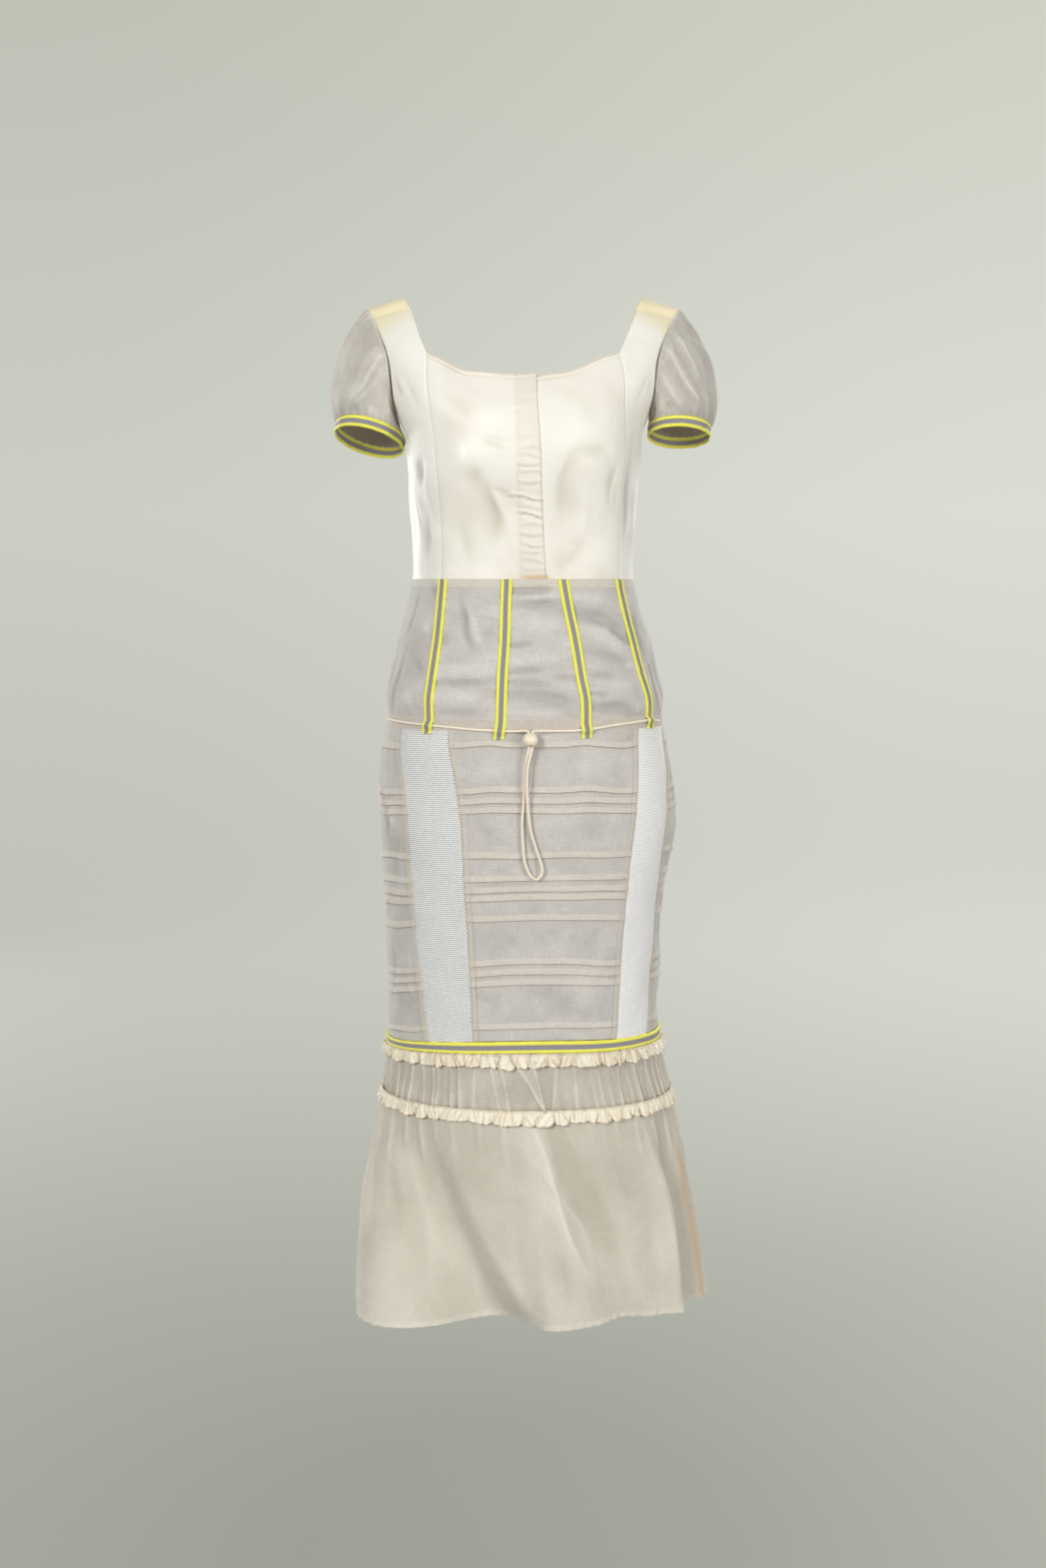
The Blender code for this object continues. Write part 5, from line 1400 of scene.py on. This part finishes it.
def make_tape(name, look):
    """A tape that rises over the cord: its middle line carried down the midriff, with ribs and picots."""
    cord_station = TAPES[name][3]
    rows = np.concatenate([even(WAIST + 0.4, cord_station - 9, 76)[:-1], cord_station + even(-9, 9.5, 34)])
    height = np.where(rows < cord_station - 9, LAID_ON, curve_through(TAPE_LOOP, 1, rows - cord_station))
    middle = tape_middle(name, rows)
    degree = np.linalg.norm(skin(middle + 0.5, rows) - skin(middle - 0.5, rows), axis=-1)[:, None]
    share = even(-1, 1, 17)[None, :]
    edge = np.abs(share)
    picot = 1 + 0.025 * np.sin(rows * 2 * math.pi / 3.4)[:, None] * (edge > 0.95)
    angle = middle[:, None] + 0.5 * TAPE_WIDTH / degree * share * picot
    station = np.broadcast_to(rows[:, None], angle.shape)
    soft = 0.4 * np.clip(midriff_lift(angle, station), -0.8, 0.8) * smooth((cord_station - 16 - station) / 10)
    under = height[:, None] + soft
    outer = raised_skin(angle, station, under + across_tape(edge, 0.85, 0.55))
    inner = raised_skin(angle, station, under - 0.1)
    threads = tape_threads(distance_along(outer[:, 8])[:, None], 0.5 * TAPE_WIDTH * share)
    stands_for(shell(name + "_striped", outer, inner, look, uv=threads), name)


# Hips

def tuck_wobble(angle, station):
    """How far a tuck's line strays: three bells that die away downwards, and a small even wander."""
    turned = around(angle)
    lifted = 2.6 * bell(turned + 12, 6.0) + 2.8 * bell(turned - 21, 6.5) - 1.6 * bell(turned - 40, 6.0)
    lifted = lifted * smooth((700 - station) / 170) * smooth((station - CORD_LEVEL) / 14)
    ends = smooth((station - CORD_LEVEL) / 20) * smooth((HIP_FOOT - station) / 12)
    return 0.8 * drift(angle, station, 31, 60.0, 260.0) * ends - lifted


def hip_rows():
    """Stations of fine rows, each with its tuck's height, its doubling and its painted shadow line under the
    edge: a band that rises to its edge.
    """
    rows = [(station, 0.0, 0.0, 0.0) for station in np.arange(CORD_LEVEL, HIP_TAPE_TOP + 0.1, 2.6)]
    tucks = []
    for edge in TUCK_EDGES:
        top = edge - TUCK_HEIGHT
        rows = [row for row in rows if not top - 1.2 < row[0] < edge + 2.4]
        tucks += [
            (top - 0.5, -0.12, 0.0, 0.0), (top, 0.0, 0.5, 0.25), (top + 0.35, 0.3, 1.0, 0.0),
            (top + 2.2, 0.62, 1.0, 0.0), (edge - 2.0, 1.0, 1.0, 0.0), (edge - 0.5, 1.25, 1.0, 0.0),
            (edge, 1.3, 1.0, 0.1), (edge + 0.22, 0.95, 0.6, 0.8), (edge + 0.38, 0.05, 0.1, 1.0),
            (edge + 1.0, 0.0, 0.0, 0.6), (edge + 1.9, 0.0, 0.0, 0.1),
        ]
    return np.array(sorted(rows + tucks))


def hip_lift(angle, station):
    """Height of the hips' cloth: creases, crumples and a slow drift, nothing at its two ends."""
    lift = ridges(angle + 1.2 * np.sin(station / 15.0), station, HIP_CREASES)
    lift = 1.4 * lift + crumples(angle, station, 545, 880, 360, 113, (0.3, 1.0))
    lift = lift + 0.6 * drift(angle, station, 13, 30.0, 140.0)
    return lift * smooth((station - CORD_LEVEL) / 14) * smooth((HIP_FOOT + 3 - station) / 16)


def make_tucked(node, low, high, columns, away, look):
    """A tucked panel between two seams, flatter in the strip of two layers beside a mesh, whose edge is a
    distance away from the first seam and from the last."""
    rows = hip_rows()
    tuck, double, line = (rows[:, k, None] for k in range(1, 4))
    rows = rows[:, 0]
    angle = between(seam(low, rows), seam(high, rows), columns)
    station = rows[:, None] + sag(angle, rows[:, None]) + tuck_wobble(angle, rows[:, None])
    from_first, from_last = edge_distances(skin(angle, station))
    beside = np.minimum(from_first + away[0], from_last + away[1])
    strip = smooth((STRIP_WIDTH - beside) / 0.8)
    soft = hip_lift(angle, station) * (1 - 0.3 * strip)
    raised = tuck * (1 - 0.55 * strip) + 0.4 * strip
    outer = raised_skin(angle, station, raised + soft - 0.5 * bell(np.minimum(from_first, from_last), 1.2))
    inner = raised_skin(angle, station, soft - LAWN_WALL)
    # painted shadow: a tan line under each tuck's edge; tan along the strip's edge and a little over the strip;
    # painted shade and highlight by height
    tint_and_painted_shade = np.clip(0.62 * line + 0.3 * bell(beside - STRIP_WIDTH, 0.7) + 0.12 * strip, 0, 1)
    fields = {"doubled_and_painted_light": np.clip(0.8 * double + 0.6 * strip, 0, 1), "tint_and_painted_shade": tint_and_painted_shade * (1 - 0.4 * strip),
              "lifted": 0.13 * hip_lift(angle, station)}
    stands_for(shell(node + "_cloth", outer, inner, look, fields, sharp=38), node)


def make_net(node, low, high, look):
    """A strip of mesh between two seams."""
    rows = even(CORD_LEVEL, HIP_TAPE_TOP, 150)
    angle = between(seam(low, rows), seam(high, rows), 31)
    station = rows[:, None] + sag(angle, rows[:, None])
    lift = 0.7 * hip_lift(angle, station) + seam_groove(skin(angle, station), 0.5)
    stands_for(cloth(node + "_net", raised_skin(angle, station, lift), NET_WALL, look), node)


def make_hip_sewing(look):
    """Topstitching on the cloth beside the edges of the mesh strips."""
    rows = []
    level = even(538, 884, 260)
    for edge, aside in (
            (MESH_RIGHT_OUTER, -0.7), (MESH_RIGHT_INNER, 0.7), (MESH_LEFT_INNER, -0.7), (MESH_LEFT_OUTER, 0.7)):
        angle = seam(edge, level) + aside
        station = level + sag(angle, level) + tuck_wobble(angle, level)
        rows.append(surface_path(angle, station, 0.7 * hip_lift(angle, station) + 0.75))
    stitching("hip_topstitching", rows, look, length=1.7, gap=1.0, thick=0.5)


def make_hips(looks):
    """The tucked panels, the two strips of mesh and the topstitching between them."""
    for node, low, high, columns, away in (
            ("hip_front", MESH_RIGHT_INNER, MESH_LEFT_INNER, 91, (0, 0)),
            ("hip_side_right", SIDE_RIGHT, MESH_RIGHT_OUTER, 25, (99, 0)),
            ("hip_side_left", MESH_LEFT_OUTER, SIDE_LEFT, 33, (0, 99)),
            ("hip_back", SIDE_LEFT, SIDE_RIGHT + (0, 360.0), 113, (99, 99))):
        make_tucked(node, low, high, columns, away, looks["lawn"])
    make_net("mesh_right", MESH_RIGHT_OUTER, MESH_RIGHT_INNER, looks["mesh_right"])
    make_net("mesh_left", MESH_LEFT_INNER, MESH_LEFT_OUTER, looks["mesh_left"])
    make_hip_sewing(looks["tan_thread"])


def make_hip_tape(half, look):
    """Half of the tape round the hips, with a rib near each edge and picots at both."""
    share = even(-1, 1, 17)[:, None]
    edge = np.abs(share)
    rows = 0.5 * (HIP_TAPE_TOP + HIP_TAPE_FOOT) + share[:, 0] * 0.5 * (HIP_TAPE_FOOT - HIP_TAPE_TOP - 0.2)
    angle, station = half_grid(half, rows, 261)
    station = station + 0.2 * np.sin(angle * 5.2) * (edge > 0.95) * np.sign(share)
    soft = 0.35 * drift(angle, 0 * station, 17)
    outer = raised_skin(angle, station, HIP_TAPE_RAISE - 0.9 + across_tape(edge, 0.9, 0.5) + soft)
    inner = raised_skin(angle, station, soft)
    threads = tape_threads(distance_along(outer[8]), 0.5 * TAPE_WIDTH * share)
    stands_for(shell("hip_tape_%s_striped" % half, outer, inner, look, uv=threads),
               "hip_tape_" + half)


# Band, ruffles and flounce

def band_gathers(angle, fall):
    """Each gather of the band: the distance across from its line, its half width, its height and its lean."""
    for top, foot, half, raised in BAND_GATHERS:
        yield around(angle - top - (foot - top) * fall) * DEGREE, half, raised, 1 if foot >= top else -1


def band_lift(angle, fall):
    """Gathers that run the band's height, and finer ones that die away from its two seams."""
    height = np.zeros(np.broadcast(angle, fall).shape)
    for away, half, raised, _ in band_gathers(angle, fall):
        height += raised * np.exp(-np.abs(away / (0.75 * half)) ** 1.2)
    share = share_of_turn(angle, -90.0)
    at_top = np.cos(uneven_waves(share, 96, 41)) * np.exp(-fall / 0.22)
    at_foot = np.cos(uneven_waves(share, 88, 43)) * np.exp(-(1 - fall) / 0.22)
    height *= 1 - 0.45 * np.sin(math.pi * fall)
    return 2.2 * height + 0.7 * at_top + 0.75 * at_foot + 0.6 * drift(angle, 66 * fall, 15, 40.0, 120.0)


def band_edges(angle, fall):
    """Share of painted shade in the narrow line beside each gather, on the side it leans to."""
    dark = np.zeros(np.broadcast(angle, fall).shape)
    for away, half, raised, lean in band_gathers(angle, fall):
        dark += 0.2 * abs(raised) * bell(away - 0.9 * lean * half, 0.9)
    return np.clip(dark, 0, 0.75)


def make_band(half, look):
    """Half of the gathered band."""
    rows = even(HIP_TAPE_FOOT - 1.0, BAND_FOOT + 1.0, 33)
    fall = ((rows - HIP_TAPE_FOOT) / (BAND_FOOT - HIP_TAPE_FOOT))[:, None]
    angle, station = half_grid(half, rows, 441 if half == "front" else 301)
    lift = band_lift(angle, np.clip(fall, 0, 1))
    # painted shade: tan along the top under the upper ruffle, along the foot at the lower ruffle, and beside
    # each gather; painted highlight on the highest gathers; painted shade and highlight by height
    tint_and_painted_shade = 0.45 * smooth((fall - 0.93) / 0.07) + 0.25 * smooth((0.1 - fall) / 0.1)
    fields = {"doubled_and_painted_light": np.clip(0.4 * (lift - 1.1), 0, 0.9) * smooth(fall / 0.1),
              "tint_and_painted_shade": tint_and_painted_shade + 0.5 * band_edges(angle, fall), "lifted": 0.24 * lift - 0.25}
    make_panel("band_" + half, angle, station, look, lift, LAWN_WALL, 0.2, fields)


def flounce_fold(angle, station):
    """Height of the flounce's folds: each a squared cosine across its middle line, growing to the hem."""
    fall = np.clip((station - BAND_FOOT) / (HEM - BAND_FOOT), 0, 1)
    height = np.zeros(np.broadcast(angle, station).shape)
    for top, foot, right_half, left_half, raised in FLOUNCE_FOLDS:
        away = around(angle - (top + (foot - top) * fall))
        share = np.clip(away / np.where(away < 0, right_half, left_half), -1, 1)
        height += raised * fall ** FOLD_GROWTH * np.cos(0.5 * math.pi * share) ** 2
    return height


def flounce_creases(angle, station):
    """What the cloth adds to the folds: creases along lines and curves, crumples, gathers under the ruffle,
    puckers along the hem and a slow drift."""
    lift = 1.35 * ridges(angle + 1.5 * np.sin(station / 31.0), station, FLOUNCE_CREASES, (DEGREE + 0.4, 1.0))
    lift = lift + curved_ridges(angle, station, FLOUNCE_CURVES)
    lift = lift + crumples(angle, station, 1000, 1210, 170, 114, (0.2, 0.8), (15.0, 70.0), (1.5, 5.0))
    share = share_of_turn(angle, -90.0)
    gather = np.cos(uneven_waves(share, 84, 51)) * np.exp(-(station - BAND_FOOT) / 16.0)
    hem = np.cos(uneven_waves(share, 100, 53, 1.2) + station / 4.0) * np.exp(-(HEM - station) / 8.0)
    lift = lift * smooth((station - BAND_FOOT + 2) / 26) + 0.8 * gather + 0.55 * hem
    return lift + 0.8 * drift(angle, station, 16, 60.0, 260.0) * smooth((station - BAND_FOOT - 12) / 60)


def make_flounce(half, look):
    """Half of the flounce, with a hem of two layers, a crest painted paler as highlight, painted shade and
    highlight by the creases' height, paler towards the hem, and a tan joining line.
    """
    rows = np.concatenate([even(BAND_FOOT, 1206, 100)[:-1], even(1206, HEM, 12)])
    angle, station = half_grid(half, rows, 331 if half == "front" else 221)
    level = rows[:, None]
    fold, creases = flounce_fold(angle, level), flounce_creases(angle, level)
    hem = smooth((level - HEM + 6.5) / 0.9)
    # painted highlight along the long fold's crest; painted shade and highlight by the creases' height, paler
    # towards the hem
    crest = curved_ridges(angle, level, [(FLOUNCE_CURVES[0][0], 2.2, 1.6, 0.75, 0.8)])
    fall = (level - BAND_FOOT) / (HEM - BAND_FOOT)
    joined = bell(around(angle) - 70 - 8 * fall, 2.4) * smooth((fall - 0.2) / 0.15)
    fields = {"doubled_and_painted_light": np.clip(0.25 * hem + crest, 0, 0.8), "tint_and_painted_shade": 0.7 * joined,
              "lifted": 0.12 * creases + 0.4 * (fall - 0.6)}
    outer = raised_skin(angle, station, fold + creases + 0.25 * hem)
    piece = cloth("flounce_%s_cloth" % half, outer, LAWN_WALL, look, fields)
    stands_for(piece, "flounce_" + half)


def lobe_edges(count, chance):
    """Where a row of lobes of uneven widths begin and end: at the gathering line, and nudged at the foot."""
    widths = chance.uniform(0.3, 1.7, count) ** 1.6
    ends = np.concatenate([[0], np.cumsum(widths)]) / widths.sum()
    nudged = ends + chance.uniform(-0.7, 0.7, count + 1) / count * (ends > 0) * (ends < 1)
    return ends, np.maximum.accumulate(np.clip(nudged, 0, 1)) + 1e-6 * np.arange(count + 1)


def lobes(share, fall, count, chance):
    """A row of lobes: at each point their phase, the lobe's number and its height, the phase's sine."""
    at_top, at_foot = lobe_edges(count, chance)
    number = np.arange(count + 1)
    phase = np.interp(share, at_top, number) * (1 - fall) + np.interp(share, at_foot, number) * fall
    return phase, np.clip(phase.astype(int), 0, count - 1), np.abs(np.sin(math.pi * phase))


def make_ruffle(level, half, look):
    """A frill: wide lobes swing its foot out and down in scallops, small folds lean with their lobe, with sharp
    creases of uneven depth between them, fine gathers and a pinch at the top, and a foot that rolls
    outwards."""
    top = HIP_TAPE_FOOT if level == "upper" else BAND_FOOT
    columns, wide, narrow = (901, 36, 118) if half == "front" else (681, 33, 108)
    chance = np.random.default_rng({"upper": 61, "lower": 67}[level] + (3 if half == "back" else 0))
    share, fall = even(0, 1, columns), even(0, 1, 17)[:, None]
    ends = np.sin(math.pi * share) ** 0.2

    _, which, swing = lobes(share, fall, wide, chance)
    swing = swing ** 0.7
    deep, let_down = chance.uniform(0.3, 1.1, wide)[which], chance.uniform(0.2, 4.2, wide)[which]
    leaning, slant = chance.uniform(-2.6, 2.6, wide)[which], chance.uniform(-1.3, 1.3, wide)[which]
    open_there = smooth(swing / 0.35)

    phase = lobes(share, fall, narrow, chance)[0] + slant * (fall - 0.3)
    small = np.abs(np.sin(math.pi * phase))
    raised = (chance.uniform(0.15, 1.2, narrow) ** 1.3)[phase.astype(int) % narrow]
    cut = (chance.uniform(0.1, 1, narrow) ** 1.2)[np.rint(phase).astype(int) % narrow]
    curl = np.abs(np.sin(1.7 * math.pi * phase + 4.0 * fall)) * smooth(fall / 0.3)
    fine = np.abs(np.sin(uneven_waves(share, 100, 79)))

    depth = 2.3 * deep * swing * (0.25 + 0.75 * smooth(fall * 1.25))
    depth = depth + (1.6 * raised * small ** 0.7 + 0.5 * curl) * open_there + 0.5 * fine * np.exp(-fall / 0.2)
    rolled = smooth((fall - 0.84) / 0.16)
    depth = depth * (1 - 0.5 * bell(fall - 0.14, 0.07)) + 0.9 * rolled * swing
    slow = drift(360 * share[None, :], 0 * fall, 77, waves=6)
    drop = (let_down * swing + 0.9 * raised * small * open_there + 0.5 * slow - 1.2) * fall ** 1.4 * ends
    low, high = HALVES[half]
    angle = low + (high - low) * share + leaning * swing * fall * ends / DEGREE
    station = top + fall * RUFFLE_HEIGHT + drop
    if level == "lower":
        under = LAID_ON + flounce_fold(angle, station) + np.clip(flounce_creases(angle, station), 0, None)
    else:
        behind = band_lift(angle, fall * RUFFLE_HEIGHT / (BAND_FOOT - HIP_TAPE_FOOT))
        under = BAND_GATHER_RAISE - 0.8 + np.clip(behind, 0, None)
    outer = raised_skin(angle, station + sag(angle, station), under + LAID_ON + 0.7 + depth)

    # painted shade: tan in the creases between the small folds, between the lobes towards the foot, along the
    # rolled foot and its edge, and between the fine gathers at the top; a tan pinch line for the gathering
    # thread
    tint_and_painted_shade = 0.9 * cut * np.exp(-small / 0.28) * open_there * smooth(fall / 0.15)
    tint_and_painted_shade = tint_and_painted_shade + 0.75 * np.exp(-swing / 0.22) * fall + 0.16 * rolled + 0.35 * smooth((fall - 0.97) / 0.03)
    tint_and_painted_shade = tint_and_painted_shade + 0.25 * bell(fall - 0.14, 0.05) + 0.3 * (1 - fine) ** 3 * np.exp(-fall / 0.25)
    name = "ruffle_%s_%s" % (level, half)
    piece = cloth(name + "_satin", outer, RUFFLE_WALL, look, {"tint_and_painted_shade": np.clip(tint_and_painted_shade, 0, 0.9)})
    stands_for(piece, name)


def finishes():
    """All materials, with the tones of each cloth."""
    lawn = {"Roughness": 0.8, "Sheen_Weight": 0.15, "Sheen_Roughness": 0.5}
    gloss = {"Roughness": 0.4, "Sheen_Weight": 0.08, "Sheen_Roughness": 0.4, "Specular_IOR_Level": 0.42}
    soft_gloss = {"Roughness": 0.48, "Sheen_Weight": 0.03, "Sheen_Roughness": 0.5, "Specular_IOR_Level": 0.2}
    return {
        "satin": satin("ivory satin", "ebe7dc", "e1dccf", "e6dcc6", "cbb088", "c5c0aa", **gloss),
        "side_satin": satin("white satin", "eeece2", "e6e3d9", "e2ddd2", "dfd6af", "bcbbb6", **soft_gloss),
        # a yellower copy of the satin for the straps: painted shade where the sheen falls off over the shoulder
        "strap_satin": satin("strap satin", "f8ecc6", "ecdfb5", "e6dcc6", "c8b27a", "c9c7c0", **gloss),
        "facing": satin("facing satin", "f4ead4", "ecddc0", "ecdcc0", "c9a878", "c9c7c0", **gloss),
        "ruffle": satin("ruffle satin", "efe8d5", "e4dac3", "d8c6a4", "a98a5f", "d9c7a2", 0.0009, 260.0,
                        Roughness=0.5),
        "lawn": woven("lawn", "b2aea7", "cfcac3", "cfc8bb", "927c62", "b8ab98", 0.11, **lawn),
        "sleeve_lawn": woven("sleeve lawn", "b4aea3", "d3cec3", "e6e1d7", "a39078", "b8ab98", 0.2, **lawn),
        "band_lawn": woven("band lawn", "b9b1a2", "cfc8b9", "e0dac9", "a39078", "b8ab98", 0.15, **lawn),
        "flounce_lawn": woven("flounce lawn", "beb7a6", "d6d0c0", "e8e3d4", "ceb391", "bcae98", 0.09, 0.05,
                              **lawn),
        "mesh_right": eyelet_mesh("eyelet mesh", 0.0032, 0.0023, 0.00102, 0.00068, 0.98),
        "mesh_left": eyelet_mesh("eyelet mesh turned", 0.0029, 0.0031, 0.0008, 0.0004, 0.45),
        "tape": striped_tape(),
        "cord": spun_cotton("cotton cord", "f4e8d6", "e4d5bc", 0.0006, 0.0001, Roughness=0.8, Sheen_Weight=0.3),
        "tan_thread": spun_cotton("tan thread", "cdbb9c", "b09c7c", 0.0003, 0.00004, Roughness=0.7),
        "thread": spun_cotton("sewing thread", "efe6d2", "ddcfb2", 0.0003, 0.00004, Roughness=0.6),
        "wood": turned_wood(),
    }


def main():
    """Every piece, from the cord to the ruffles, over the frame."""
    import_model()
    bpy.context.scene.view_settings.view_transform = "Standard"
    make_camera()
    looks = finishes()
    cord, route = make_cord(looks["cord"])
    bead = make_bead(looks["wood"])
    long = float(distance_along(route)[-1]) * MM
    make_fronts(looks["satin"])
    for side, princess in (("right", PRINCESS_RIGHT), ("left", PRINCESS_LEFT)):
        make_side_front(side, princess, looks["side_satin"])
        make_strap(side, looks["strap_satin"])
    make_bodice_back(looks["satin"])
    make_bodice_sewing(looks["thread"])
    make_neck_facing(looks["facing"])
    for side in SIGN:
        make_sleeve(side, looks["sleeve_lawn"])
        make_cuff(side, looks["tape"])
    for half in HALVES:
        make_midriff(half, looks["lawn"])
    for name in TAPES:
        make_tape(name, looks["tape"])
    make_hips(looks)
    for half in HALVES:
        make_hip_tape(half, looks["tape"])
        make_band(half, looks["band_lawn"])
        make_flounce(half, looks["flounce_lawn"])
        for level in ("upper", "lower"):
            make_ruffle(level, half, looks["ruffle"])
    make_studio()
    make_lights()


main()
